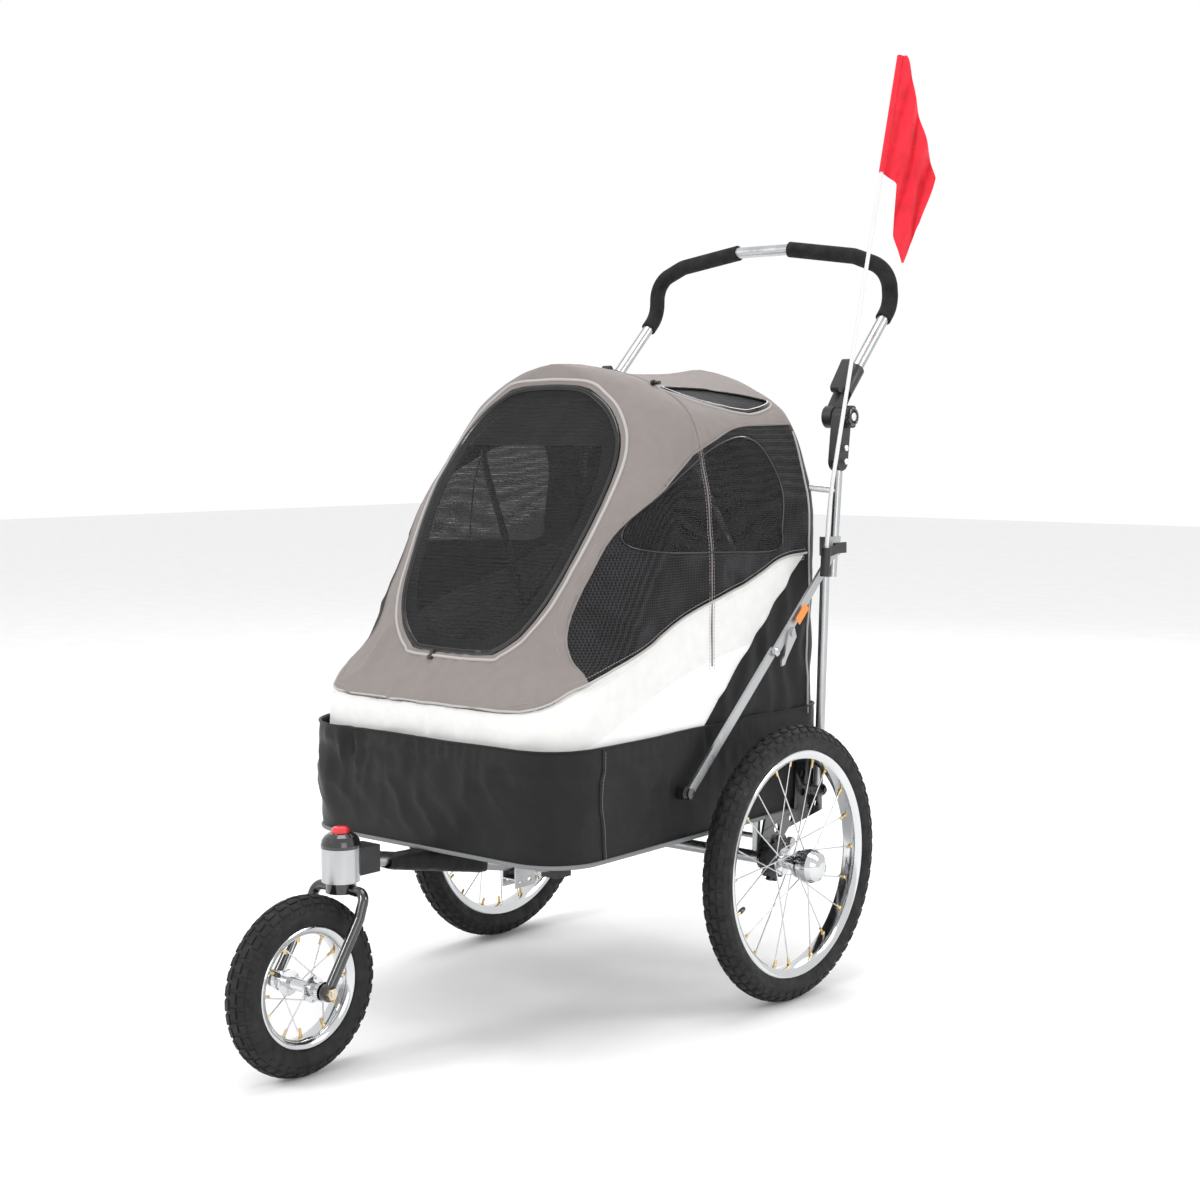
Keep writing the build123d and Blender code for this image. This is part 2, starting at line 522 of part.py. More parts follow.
def on_pole(z, h=0.0):
    """The point at height z on the pole's straight top, moved h along the cloth."""
    slope = (POLE_TIP[0] - POLE_BEND[0]) / (POLE_TIP[1] - POLE_BEND[1])
    y = POLE_TIP[0] + (z - POLE_TIP[1]) * slope
    return (FLAG_X + h * FLAG_DIR[0], y + h * FLAG_DIR[1], z)


def pennant():
    """The cloth and the sleeve that holds it on the pole."""
    face = make_face(Polyline(*[on_pole(z, h) for h, z in FLAG_OUTLINE], close=True))
    cloth = extrude(face, 0.8, both=True)
    line = Line(on_pole(1206), on_pole(1384))
    cloth += swept(line, 4.6)
    longer = Line(on_pole(1190), on_pole(1400))
    return cloth - swept(longer, POLE_R)


# ---- everything -------------------------------------------------------------------------------

def sliders():
    """The pull tabs of the door's and the roof vent's zips."""
    door_tab = Pos(-34, -408, 514) * Rot(-30, 0, 0) * Box(9, 4, 16)
    vent_tab = Pos(131, -121, 889) * Rot(0, 24, 0) * Box(14, 8, 4)
    shell = stacked(CANOPY)
    return Compound(children=[door_tab - shell, vent_tab - shell])


def all_pieces():
    pieces = {}
    tub = tub_pieces()
    for group in (tub, canopy_pieces(), arm_pieces(), swivel_pieces(), axle_pieces(), rear_frame_pieces(),
                  link_pieces(), handle_pieces(), flag_pieces()):
        pieces.update(group)
    pieces["link_brackets"] = link_brackets(stacked(TUB))
    pieces["brake_bar"] = brake_bar()
    pieces["front_bow"] = front_bow()
    pieces["zip_sliders"] = sliders()
    for name, shape in rear_wheel().items():
        left = Pos(WHEEL_X, 0, REAR_R) * shape
        pieces[name + "_left"] = left
        pieces[name + "_right"] = mirrored(left)
    for name, shape in front_wheel().items():
        pieces[name] = Pos(0, FRONT_AXLE_Y, FRONT_R) * shape
    return pieces


def main():
    os.makedirs("parts", exist_ok=True)
    for name, shape in all_pieces().items():
        export_step(Pos(0, ORIGIN_Y, 0) * shape, "parts/" + name + ".step")


main()
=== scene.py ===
import math

import bmesh
import bpy
import numpy as np
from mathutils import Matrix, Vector, noise
from mathutils.bvhtree import BVHTree


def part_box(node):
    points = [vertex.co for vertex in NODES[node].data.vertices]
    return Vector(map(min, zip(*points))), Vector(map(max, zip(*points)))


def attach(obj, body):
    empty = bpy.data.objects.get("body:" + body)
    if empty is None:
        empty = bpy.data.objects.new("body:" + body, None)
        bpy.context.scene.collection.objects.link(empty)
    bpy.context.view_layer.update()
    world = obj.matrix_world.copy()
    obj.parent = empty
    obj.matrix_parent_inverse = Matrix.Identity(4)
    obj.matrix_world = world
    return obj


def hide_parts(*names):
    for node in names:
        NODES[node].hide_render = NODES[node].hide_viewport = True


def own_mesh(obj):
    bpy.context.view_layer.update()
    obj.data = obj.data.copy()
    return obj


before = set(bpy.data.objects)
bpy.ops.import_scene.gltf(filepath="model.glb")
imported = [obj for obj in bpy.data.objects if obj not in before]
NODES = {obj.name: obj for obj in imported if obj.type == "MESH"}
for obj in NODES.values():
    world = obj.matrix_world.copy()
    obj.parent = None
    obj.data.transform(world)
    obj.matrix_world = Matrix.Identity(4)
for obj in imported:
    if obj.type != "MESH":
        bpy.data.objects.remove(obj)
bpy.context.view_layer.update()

# Places are in metres. Y is written from the rear axle, and at() moves it to the row frame.
AXLE_Y = sum(v.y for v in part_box("rear_axle")) / 2
X_DIR, Y_DIR, Z_DIR = Vector((1, 0, 0)), Vector((0, 1, 0)), Vector((0, 0, 1))


def at(x, y, z):
    return Vector((x, y + AXLE_Y, z))


def centre(node):
    low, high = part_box(node)
    return (low + high) / 2


# ---- camera and light ---------------------------------------------------------------------------

def make_camera():
    camera = bpy.data.objects.new("camera", bpy.data.cameras.new("camera"))
    bpy.context.collection.objects.link(camera)
    camera.data.sensor_width = 36.0
    camera.data.lens = 57.8
    place, target = at(1.8347, -2.2750, 0.8202), at(0.1775, -0.3000, 0.5946)
    camera.location = place
    camera.rotation_euler = (target - place).to_track_quat("-Z", "Y").to_euler()
    bpy.context.scene.camera = camera


def area_light(name, place, target, size, power):
    light = bpy.data.objects.new(name, bpy.data.lights.new(name, "AREA"))
    bpy.context.collection.objects.link(light)
    light.data.shape = "DISK"
    light.data.size = size
    light.data.energy = power
    light.location = place
    light.rotation_euler = (target - Vector(place)).to_track_quat("-Z", "Y").to_euler()


def make_studio():
    middle = at(0, -0.25, 0.55)
    area_light("key", (-1.2, -4.0, 3.0), middle, 1.6, 95)
    area_light("fill", (3.6, -1.8, 1.4), middle, 2.2, 24)
    area_light("side", (3.4, 1.6, 2.4), middle, 1.6, 40)
    area_light("back", (-1.0, 3.6, 3.2), middle, 2.0, 50)
    area_light("top", (0.0, 0.0, 3.8), middle, 2.0, 36)
    bpy.context.scene.view_settings.view_transform = "Standard"
    world = bpy.data.worlds.new("studio")
    world.use_nodes = True
    world.node_tree.nodes["Background"].inputs["Color"].default_value = (1.0, 1.0, 1.0, 1)
    world.node_tree.nodes["Background"].inputs["Strength"].default_value = 1.0
    bpy.context.scene.world = world
    mesh = bpy.data.meshes.new("floor")
    mesh.from_pydata([(-14, -14, 0), (14, -14, 0), (14, 14, 0), (-14, 14, 0)], [], [(0, 1, 2, 3)])
    floor = bpy.data.objects.new("floor", mesh)
    bpy.context.collection.objects.link(floor)
    mesh.materials.append(paint("floor_paint", (0.86, 0.86, 0.86), 0.75, grain=0.02))


# ---- materials ----------------------------------------------------------------------------------

class Look:
    """A node material being put together."""

    def __init__(self, name, color, rough, metallic=0.0):
        self.material = bpy.data.materials.new(name)
        self.material.use_nodes = True
        self.tree = self.material.node_tree
        self.shader = self.tree.nodes["Principled BSDF"]
        self.shader.inputs["Base Color"].default_value = (*color, 1)
        self.shader.inputs["Roughness"].default_value = rough
        self.shader.inputs["Metallic"].default_value = metallic
        self.coords = self.tree.nodes.new("ShaderNodeTexCoord").outputs["Object"]
        self.normal = None

    def node(self, kind, **values):
        node = self.tree.nodes.new("ShaderNode" + kind)
        for key, value in values.items():
            if key in node.inputs:
                node.inputs[key].default_value = value
            else:
                setattr(node, key, value)
        return node

    def link(self, a, b):
        self.tree.links.new(a, b)

    def noise(self, scale, detail=3.0, stretch=None):
        node = self.node("TexNoise", Scale=scale, Detail=detail)
        source = self.coords
        if stretch:
            mapping = self.node("Mapping")
            mapping.inputs["Scale"].default_value = stretch
            self.link(source, mapping.inputs["Vector"])
            source = mapping.outputs["Vector"]
        self.link(source, node.inputs["Vector"])
        return node.outputs["Fac"]

    def wave(self, scale, direction):
        node = self.node("TexWave", Scale=scale, wave_type="BANDS", bands_direction=direction, Distortion=0.0)
        self.link(self.coords, node.inputs["Vector"])
        return node.outputs["Fac"]

    def math(self, operation, a, b=0.5):
        node = self.node("Math", operation=operation)
        for socket, value in zip(node.inputs, (a, b)):
            if isinstance(value, (int, float)):
                socket.default_value = value
            else:
                self.link(value, socket)
        return node.outputs["Value"]

    def spread(self, fac, low, high):
        node = self.node("MapRange")
        self.link(fac, node.inputs["Value"])
        node.inputs["From Min"].default_value = 0.3
        node.inputs["From Max"].default_value = 0.7
        node.inputs["To Min"].default_value = low
        node.inputs["To Max"].default_value = high
        return node.outputs["Result"]

    def tint(self, fac, dark, light):
        ramp = self.node("ValToRGB")
        ramp.color_ramp.elements[0].position = 0.3
        ramp.color_ramp.elements[1].position = 0.7
        ramp.color_ramp.elements[0].color = (*dark, 1)
        ramp.color_ramp.elements[1].color = (*light, 1)
        self.link(fac, ramp.inputs["Fac"])
        self.link(ramp.outputs["Color"], self.shader.inputs["Base Color"])

    def bump(self, height, distance):
        node = self.node("Bump", Strength=1.0, Distance=distance)
        self.link(height, node.inputs["Height"])
        if self.normal:
            self.link(self.normal, node.inputs["Normal"])
        self.normal = node.outputs["Normal"]
        self.link(self.normal, self.shader.inputs["Normal"])

    def set(self, **values):
        for key, value in values.items():
            self.shader.inputs[key.replace("_", " ")].default_value = value

    def uneven_gloss(self, fac, low, high):
        self.link(self.spread(fac, low, high), self.shader.inputs["Roughness"])


THREAD = 0.0011


def shade(color, factor):
    return tuple(min(c * factor, 1.0) for c in color)


def paint(name, color, rough, grain=0.04, coat=0.0):
    look = Look(name, color, rough)
    fine = look.noise(600, 2)
    look.tint(look.noise(9, 3), shade(color, 1 - grain), shade(color, 1 + grain))
    look.uneven_gloss(look.noise(40, 4), rough * 0.85, min(rough * 1.2, 1))
    look.bump(fine, 0.00008)
    if coat:
        look.set(Coat_Weight=coat, Coat_Roughness=0.05)
    return look.material


def metal(name, color, rough, brushed=None):
    look = Look(name, color, rough, 1.0)
    look.tint(look.noise(14, 4), shade(color, 0.93), shade(color, 1.05))
    look.uneven_gloss(look.noise(60, 4, brushed), rough * 0.75, rough * 1.35)
    look.bump(look.noise(500, 2, brushed), 0.00004)
    return look.material


def cloth(name, color, rough, crease=0.0006, sheen=0.25, uneven=0.12):
    """Woven cloth: two crossing threads, a slow colour change and soft creases."""
    look = Look(name, color, rough)
    look.tint(look.noise(60, 6), shade(color, 1 - uneven), shade(color, 1 + uneven))
    weave = look.math("MULTIPLY", look.wave(0.5 / THREAD, "Z"), look.wave(0.5 / THREAD, "DIAGONAL"))
    look.bump(look.noise(30, 4), crease)
    look.bump(look.noise(120, 3), crease * 0.25)
    look.bump(weave, 0.00018)
    look.set(Sheen_Weight=sheen, Sheen_Roughness=0.5, Specular_IOR_Level=0.22)
    return look.material


def mesh_cloth(name, color, pitch, open_low, open_high):
    """Mesh of small holes. See-through mesh has a lower alpha in its holes; closed mesh is only darker there,
    a painted shade in its holes.
    """
    look = Look(name, color, 0.8)
    cells = look.node("TexVoronoi", Scale=1.0 / pitch, Randomness=0.15, feature="F1")
    look.link(look.coords, cells.inputs["Vector"])
    holes = look.node("MapRange")
    look.link(cells.outputs["Distance"], holes.inputs["Value"])
    for key, value in (("From Min", 0.25), ("From Max", 0.5), ("To Min", open_low), ("To Max", open_high)):
        holes.inputs[key].default_value = value
    if open_low < 1.0:
        look.link(holes.outputs["Result"], look.shader.inputs["Alpha"])
        look.tint(look.noise(20, 3), shade(color, 0.85), shade(color, 1.15))
    else:
        # Closed mesh: colour runs from dark in the hole centres to lighter on the ridges, painted shade
        # inside the holes.
        look.tint(look.math("MULTIPLY", cells.outputs["Distance"], look.spread(look.noise(25, 3), 0.9, 1.2)),
                  shade(color, 0.3), shade(color, 2.4))
    look.bump(cells.outputs["Distance"], 0.0006)
    look.bump(look.noise(25, 3), 0.0005)
    look.set(Sheen_Weight=0.05, Specular_IOR_Level=0.15)
    return look.material


def tyre_rubber(name):
    look = Look(name, (0.012, 0.012, 0.0125), 0.62)
    look.tint(look.noise(30, 5), (0.0065, 0.0065, 0.007), (0.014, 0.014, 0.0135))
    look.set(Specular_IOR_Level=0.3)
    look.uneven_gloss(look.noise(80, 4), 0.5, 0.8)
    look.bump(look.noise(400, 3), 0.00025)
    return look.material


def foam(name):
    look = Look(name, (0.02, 0.02, 0.021), 0.85)
    cells = look.node("TexVoronoi", Scale=420.0, feature="F1")
    look.link(look.coords, cells.inputs["Vector"])
    look.tint(look.noise(60, 4), (0.006, 0.006, 0.007), (0.018, 0.018, 0.019))
    look.set(Specular_IOR_Level=0.25)
    look.bump(cells.outputs["Distance"], 0.0005)
    return look.material


def make_materials():
    return {
        "nylon": cloth("black_nylon_cloth", (0.0065, 0.0065, 0.0070), 0.42, crease=0.0011, sheen=0.02),
        "taupe": cloth("taupe_cloth", (0.215, 0.190, 0.181), 0.85, sheen=0.08, uneven=0.035),
        "white": cloth("white_cloth", (0.80, 0.80, 0.80), 0.75, crease=0.0003, sheen=0.1, uneven=0.015),
        "offwhite": cloth("off_white_cloth", (0.70, 0.70, 0.685), 0.85, crease=0.0004, sheen=0.1,
                          uneven=0.03),
        "mesh3d": mesh_cloth("black_spacer_mesh", (0.012, 0.012, 0.013), 0.0036, 1.0, 1.0),
        "window": mesh_cloth("window_mesh", (0.018, 0.018, 0.019), 0.0030, 0.22, 0.72),
        "door": mesh_cloth("door_mesh", (0.018, 0.018, 0.019), 0.0030, 0.20, 0.66),
        "door_dark": mesh_cloth("door_dark_mesh", (0.014, 0.014, 0.015), 0.0030, 0.80, 0.99),
        "piping": paint("grey_piping", (0.17, 0.175, 0.18), 0.7, 0.08),
        "pale_piping": paint("pale_piping", (0.36, 0.345, 0.335), 0.7, 0.05),
        "thread": paint("thread", (0.33, 0.30, 0.29), 0.8),
        "zip": paint("zip_track", (0.006, 0.006, 0.007), 0.22, 0.1, coat=0.4),
        "alloy": metal("satin_alloy", (0.47, 0.48, 0.49), 0.30, (1, 1, 0.1)),
        "chrome": metal("bright_chrome", (0.62, 0.63, 0.64), 0.09),
        "steel": metal("satin_steel", (0.5, 0.5, 0.51), 0.38, (1, 0.1, 1)),
        "zinc": metal("zinc_plate", (0.66, 0.6, 0.48), 0.3),
        "brass": metal("brass", (0.72, 0.52, 0.24), 0.25),
        "plastic": paint("black_plastic", (0.013, 0.013, 0.014), 0.42, 0.12),
        "gloss": paint("gloss_black", (0.008, 0.008, 0.009), 0.12, 0.1, coat=0.8),
        "black_frame": paint("black_gloss_paint", (0.008, 0.008, 0.009), 0.16, 0.08, coat=0.9),
        "red": paint("red_plastic", (0.62, 0.012, 0.02), 0.25, 0.05, coat=0.5),
        "tyre": tyre_rubber("tyre_rubber"),
        "foam": foam("grip_foam"),
        "pole": paint("white_pole_plastic", (0.60, 0.60, 0.59), 0.3, 0.03, coat=0.3),
        "flag": cloth("red_flag_cloth", (0.66, 0.012, 0.030), 0.7, crease=0.0004, sheen=0.15),
        "pad": cloth("pad_cloth", (0.03, 0.03, 0.033), 0.9, sheen=0.1),
        "board": paint("board_plastic", (0.07, 0.07, 0.075), 0.6, 0.08),
        "rivet": metal("rivet_white", (0.85, 0.85, 0.85), 0.3),
        "label": paint("plain_label", (0.75, 0.22, 0.03), 0.45, 0.05),
    }


BOTH = ("_left", "_right")
# The CAD nodes that stay in view, by material
LOOK_NODES = {
    "alloy": ["arm_tube", "swivel_housing", "rear_axle", "rear_stays", "handle_posts", "rear_bow",
              "handle_tube", "front_bow"]
    + [link + side for link in ("lower_link", "upper_link") for side in BOTH],
    "steel": ["floor_frame", "hitch_bracket", "brake_bar"] + ["latch" + side for side in BOTH],
    "chrome": ["front_spokes", "front_hub"]
    + [part + side for part in ("rear_spokes", "rear_hub") for side in BOTH],
    "plastic": ["arm_brackets", "joint_housings", "handle_clamps", "flag_socket"]
    + [part + side for part in ("knob", "brake_disc") for side in BOTH],
    "black_frame": ["fork", "axle_plates", "link_brackets"],
    "board": ["floor_board"], "gloss": ["swivel_cap"], "red": ["lock_button"], "zinc": ["front_axle"],
    "foam": ["grips"], "pole": ["flag_pole"],
}


def dress_nodes():
    """Gives the CAD nodes that stay their node materials and soft shading."""
    for look, names in LOOK_NODES.items():
        for name in names:
            mesh = NODES[name].data
            mesh.materials.clear()
            mesh.materials.append(MATS[look])
            mesh.polygons.foreach_set("use_smooth", [True] * len(mesh.polygons))
            mesh.set_sharp_from_angle(angle=math.radians(32))


# ---- mesh building ------------------------------------------------------------------------------

def strips(rows, count, wrap_rows=False, wrap=True):
    """Quads between rows of count points each."""
    faces = []
    for i in range(rows if wrap_rows else rows - 1):
        j = (i + 1) % rows
        for k in range(count if wrap else count - 1):
            m = (k + 1) % count
            faces.append((i * count + k, i * count + m, j * count + m, j * count + k))
    return faces


def new_object(name, verts, faces, looks, slots=None):
    mesh = bpy.data.meshes.new(name)
    mesh.from_pydata(verts, [], faces)
    for look in looks:
        mesh.materials.append(MATS[look])
    if slots:
        mesh.polygons.foreach_set("material_index", slots)
    mesh.polygons.foreach_set("use_smooth", [True] * len(mesh.polygons))
    obj = bpy.data.objects.new(name, mesh)
    bpy.context.collection.objects.link(obj)
    return obj


def thicken(obj, thickness):
    modifier = obj.modifiers.new("thickness", "SOLIDIFY")
    modifier.thickness = thickness


class Builder:
    """Collects faces for one piece, then makes it."""

    def __init__(self):
        self.verts, self.faces, self.slots = [], [], []

    def add(self, verts, faces, slot=0):
        start = len(self.verts)
        self.verts += [Vector(v) for v in verts]
        self.faces += [tuple(start + i for i in face) for face in faces]
        self.slots += [slot] * len(faces)

    def lathe(self, profile, place, axis=X_DIR, count=96, slot=0, closed=True):
        """Turns (along, radius) points about an axis through place."""
        turn = Vector((0, 0, 1)).rotation_difference(axis).to_matrix()
        verts = []
        for i in range(count):
            a = 2 * math.pi * i / count
            for along, r in profile:
                verts.append(place + turn @ Vector((r * math.cos(a), r * math.sin(a), along)))
        n = len(profile)
        faces = []
        for i in range(count):
            j = (i + 1) % count
            for k in range(n if closed else n - 1):
                m = (k + 1) % n
                faces.append((i * n + k, j * n + k, j * n + m, i * n + m))
        self.add(verts, faces, slot)

    def tube(self, points, radius, sides=8, slot=0, closed=False, flat=1.0):
        """A round tube through the points, with closed ends."""
        points = [Vector(p) for p in points]
        count = len(points)
        verts, side = [], None
        for i, p in enumerate(points):
            before = points[i - 1] if i or closed else p
            after = points[(i + 1) % count] if i < count - 1 or closed else p
            along = (after - before).normalized()
            if side is None:
                side = along.orthogonal().normalized()
            side = (side - along * side.dot(along)).normalized()
            up = along.cross(side)
            for k in range(sides):
                a = 2 * math.pi * k / sides
                verts.append(p + side * radius * math.cos(a) + up * radius * flat * math.sin(a))
        faces = strips(count, sides, closed)
        if not closed:
            faces.append(tuple(range(sides))[::-1])
            faces.append(tuple((count - 1) * sides + k for k in range(sides)))
        self.add(verts, faces, slot)

    def box(self, place, along, up, size, slot=0):
        """A block with a smaller top, so that its upper edges are bevelled."""
        side = along.cross(up).normalized()
        up = side.cross(along).normalized()
        length, width, height = size
        verts = []
        for level, scale in ((0, 1.0), (0.6, 1.0), (1.0, 0.85)):
            for sx, sy in ((-1, -1), (1, -1), (1, 1), (-1, 1)):
                verts.append(place + along * (sx * length / 2 * scale) + side * (sy * width / 2 * scale)
                             + up * (height * level))
        self.add(verts, [(3, 2, 1, 0), (8, 9, 10, 11)] + strips(3, 4), slot)

    def piece(self, name, body, looks, smooth=35):
        obj = new_object(name, self.verts, self.faces, looks, self.slots)
        bm = bmesh.new()
        bm.from_mesh(obj.data)
        bmesh.ops.recalc_face_normals(bm, faces=bm.faces)
        bm.to_mesh(obj.data)
        bm.free()
        obj.data.set_sharp_from_angle(angle=math.radians(smooth))
        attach(obj, body)
        return obj


def curve_through(points, steps=8, closed=False):
    """A smooth Catmull-Rom curve through the points."""
    points = [Vector(p) for p in points]
    count = len(points)
    out = []
    for i in range(count if closed else count - 1):
        p0 = points[i - 1] if i or closed else points[0] * 2 - points[1]
        p1, p2 = points[i], points[(i + 1) % count]
        p3 = points[(i + 2) % count] if i + 2 < count or closed else p2 * 2 - p1
        for k in range(steps):
            t = k / steps
            out.append(0.5 * (2 * p1 + (p2 - p0) * t + (2 * p0 - 5 * p1 + 4 * p2 - p3) * t * t
                              + (3 * p1 - p0 - 3 * p2 + p3) * t ** 3))
    if not closed:
        out.append(points[-1])
    return out


def evenly(points, step):
    """The same line with points a fixed step apart."""
    out, left = [points[0]], step
    for a, b in zip(points, points[1:]):
        length = (b - a).length
        where = left
        while where <= length:
            out.append(a.lerp(b, where / length))
            where += step
        left = where - length
    return out


def smoothstep(low, high, value):
    t = min(max((value - low) / (high - low), 0.0), 1.0)
    return t * t * (3 - 2 * t)


# ---- wheels -------------------------------------------------------------------------------------

def torus_point(middle, ring_r, section_r, turn, section):
    """A point on a tyre: turn goes round the axle, section round the casing, 0 at the tread's middle."""
    r = ring_r + section_r * math.cos(section)
    return middle + Vector((section_r * math.sin(section), r * math.cos(turn), r * math.sin(turn)))


def knob(builder, middle, ring_r, section_r, turns, sections, height):
    """A tread block: four corners on the casing, a waist, and a slightly smaller top."""
    verts = []
    (t0, t1), (s0, s1) = turns, sections
    mid_t, mid_s = (t0 + t1) / 2, (s0 + s1) / 2
    for rise, scale in ((-0.0012, 1.05), (height * 0.75, 0.97), (height, 0.84)):
        for t, s in ((t0, s0), (t1, s0), (t1, s1), (t0, s1)):
            verts.append(torus_point(middle, ring_r, section_r + rise, mid_t + (t - mid_t) * scale,
                                     mid_s + (s - mid_s) * scale))
    builder.add(verts, [(8, 9, 10, 11)] + strips(3, 4))


def tyre_piece(node, body, rim_half, count):
    """A tyre with a ribbed casing, two rows of middle blocks and a row of shoulder blocks each side."""
    low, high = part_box(node)
    middle = (low + high) / 2
    outer = (high.z - low.z) / 2
    section = (high.x - low.x) / 2
    ring = outer - section
    casing = section - 0.0026
    builder = Builder()
    limit = math.pi - math.asin(min(rim_half / casing, 0.99))
    profile = []
    for i in range(49):
        s = -limit + 2 * limit * i / 48
        swell = 0.0005 if 12 <= i <= 36 else 0.0
        swell += 0.0009 if i in (7, 8, 40, 41) else 0.0
        profile.append(((casing + swell) * math.sin(s), ring + (casing + swell) * math.cos(s)))
    profile += [(x * 0.86, r - 0.002) for x, r in (profile[-1], profile[0])]
    builder.lathe(profile, middle, X_DIR, 200)
    step = 2 * math.pi / count
    rows = [((0.08, 0.80), (0.06, 0.42), 0.0027), ((0.30, 0.98), (0.52, 0.86), 0.0024),
            ((0.02, 0.50), (0.94, 1.24), 0.0014)]
    for i in range(count):
        for side in (-1, 1):
            start = i * step + (0.0 if side > 0 else 0.5 * step)
            for turns, sections, height in rows:
                knob(builder, middle, ring, casing, [start + t * step for t in turns],
                     sorted(side * s for s in sections), height)
    piece = builder.piece(node + "_tread", body, ["tyre"], smooth=40)
    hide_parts(node)


def rim_piece(node, tyre_node, body, half, rim_r, depth, spoke_count, valve_angle):
    """A rim with rolled edges and a raised spoke bed, its spoke nipples, and the valve."""
    middle = centre(tyre_node)
    inner = rim_r - depth
    builder = Builder()
    curl = [(half, rim_r - 0.0005), (half + 0.0008, rim_r - 0.002), (half + 0.0002, rim_r - 0.0045),
            (half - 0.0015, inner + depth * 0.35), (half * 0.72, inner + 0.0012), (half * 0.45, inner)]
    profile = [(-x, r) for x, r in curl] + [(0, inner - 0.0006)] + [(x, r) for x, r in curl[::-1]]
    well = inner + depth * 0.7
    profile += [(half - 0.002, rim_r), (half - 0.0025, well), (-half + 0.0025, well), (-half + 0.002, rim_r)]
    builder.lathe(profile, middle, X_DIR, 160)
    for i in range(spoke_count):
        a = 2 * math.pi * i / spoke_count
        out = Vector((0, math.sin(a), math.cos(a)))
        foot = middle + out * (inner + 0.001) + X_DIR * (0.003 if i % 2 else -0.003)
        lean = -out + X_DIR * (0.09 if i % 2 else -0.09)
        builder.lathe([(0, 0), (0, 0.003), (0.0015, 0.0034), (0.003, 0.0022), (0.012, 0.0019), (0.0125, 0)],
                      foot, lean.normalized(), 10, slot=1, closed=False)
    a = math.radians(valve_angle)
    out = Vector((0, -math.sin(a), math.cos(a)))
    foot = middle + out * inner
    builder.lathe([(0, 0), (0, 0.0048), (0.0022, 0.0048), (0.0024, 0.0026), (0.014, 0.0025), (0.0145, 0.0021),
                   (0.022, 0.0021), (0.022, 0)], foot, -out, 20, slot=2, closed=False)
    builder.lathe([(0.016, 0), (0.016, 0.0032), (0.0175, 0.0036), (0.024, 0.0034), (0.0265, 0.0026),
                   (0.027, 0)], foot, -out, 20, slot=3, closed=False)
    piece = builder.piece(node + "_turned", body, ["chrome", "brass", "brass", "gloss"])
    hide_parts(node)


def spoke_heads(tyre_node, body, flange_x, flange_r, count, name):
    """The spoke heads on a hub's flanges."""
    middle = centre(tyre_node)
    builder = Builder()
    for side in (-1, 1):
        for i in range(count // 2):
            a = 4 * math.pi * i / count + (0.15 if side > 0 else 0)
            place = middle + Vector((side * flange_x, flange_r * math.sin(a), flange_r * math.cos(a)))
            builder.lathe([(0, 0), (0, 0.0017), (0.0012, 0.0012), (0.0016, 0)], place, X_DIR * side, 8,
                          closed=False)
    piece = builder.piece(name, body, ["steel"])


def make_wheels():
    for side in BOTH:
        tyre, body = "rear_tyre" + side, "rear_wheel" + side
        tyre_piece(tyre, body, 0.0165, 60)
        rim_piece("rear_rim" + side, tyre, body, 0.0150, 0.165, 0.014, 20, 111)
        spoke_heads(tyre, body, 0.0162, 0.0172, 20, "rear_spoke_heads" + side)
    tyre_piece("front_tyre", "front_wheel", 0.0175, 38)
    rim_piece("front_rim", "front_tyre", "front_wheel", 0.016, 0.079, 0.012, 12, 60)
    spoke_heads("front_tyre", "front_wheel", 0.0252, 0.0145, 12, "front_spoke_heads")


# ---- soft shell ---------------------------------------------------------------------------------

# One level: front half width, rear half width, front y, rear y, front corner, rear corner, z
CANOPY = [
    (.241, .232, -.456, .155, .080, .040, .398), (.240, .231, -.458, .155, .100, .040, .455),
    (.238, .231, -.403, .157, .110, .040, .520), (.236, .231, -.351, .158, .112, .040, .610),
    (.231, .230, -.289, .158, .106, .040, .715), (.217, .216, -.252, .157, .104, .044, .775),
    (.197, .197, -.219, .155, .096, .048, .831), (.172, .172, -.204, .153, .084, .050, .862),
    (.118, .118, -.197, .151, .058, .045, .891), (.062, .062, -.192, .149, .032, .030, .908),
    (.014, .014, -.188, .147, .010, .010, .916),
]
CANOPY_ROWS = [12, 17, 20, 22, 14, 13, 8, 11, 11, 8]
TUB = [(.247, .234, -.462, .160, .075, .040, .258), (.249, .235, -.468, .162, .080, .040, .412)]

# Side views, (y, z)
BAND_TOP = [(-.458, .455), (-.430, .466), (-.400, .482), (-.378, .491), (-.320, .514), (-.270, .533),
            (-.187, .568), (-.040, .606), (.042, .635), (.108, .641)]
SWOOSH = [(-.440, .398), (-.358, .425), (-.290, .452), (-.222, .478), (-.165, .493), (-.106, .505),
          (.02, .524)]
SEAM = [(-.378, .491), (-.371, .549), (-.288, .680), (-.205, .745), (-.142, .788)]
BOW_SEAM = [(-.142, .788), (-.122, .850), (-.108, .905), (-.106, .960)]
ROOF_EDGE = [(-.142, .788), (-.090, .806), (-.028, .825), (.040, .830), (.300, .831)]
STRUT_LINE = [(.108, .641), (-.145, .412), (-.158, .300)]
WINDOW = [(-.271, .695), (-.205, .742), (-.140, .776), (-.075, .802), (-.017, .812), (.022, .800),
          (.046, .765), (.054, .725), (.049, .680), (.037, .649), (-.081, .651), (-.262, .661)]
# The door's outline on the front slope: distance up the slope, half width
DOOR_HALF = [(0, .060), (.009, .085), (.024, .104), (.042, .119), (.081, .138), (.140, .151), (.210, .160),
             (.271, .163), (.333, .154), (.376, .130), (.402, .100), (.420, .055)]
DOOR_ORIGIN, DOOR_NORMAL, DOOR_UP = (0, -.404, .519), Vector((0, -.8602, .51)), Vector((0, .51, .8602))
DOOR_MIDDLE = 0.213
# The door's zip gap, the width of its dark border, and where its dark top band starts
DOOR_EDGE, DOOR_BORDER, DOOR_BAND = 0.0008, 0.024, 0.328
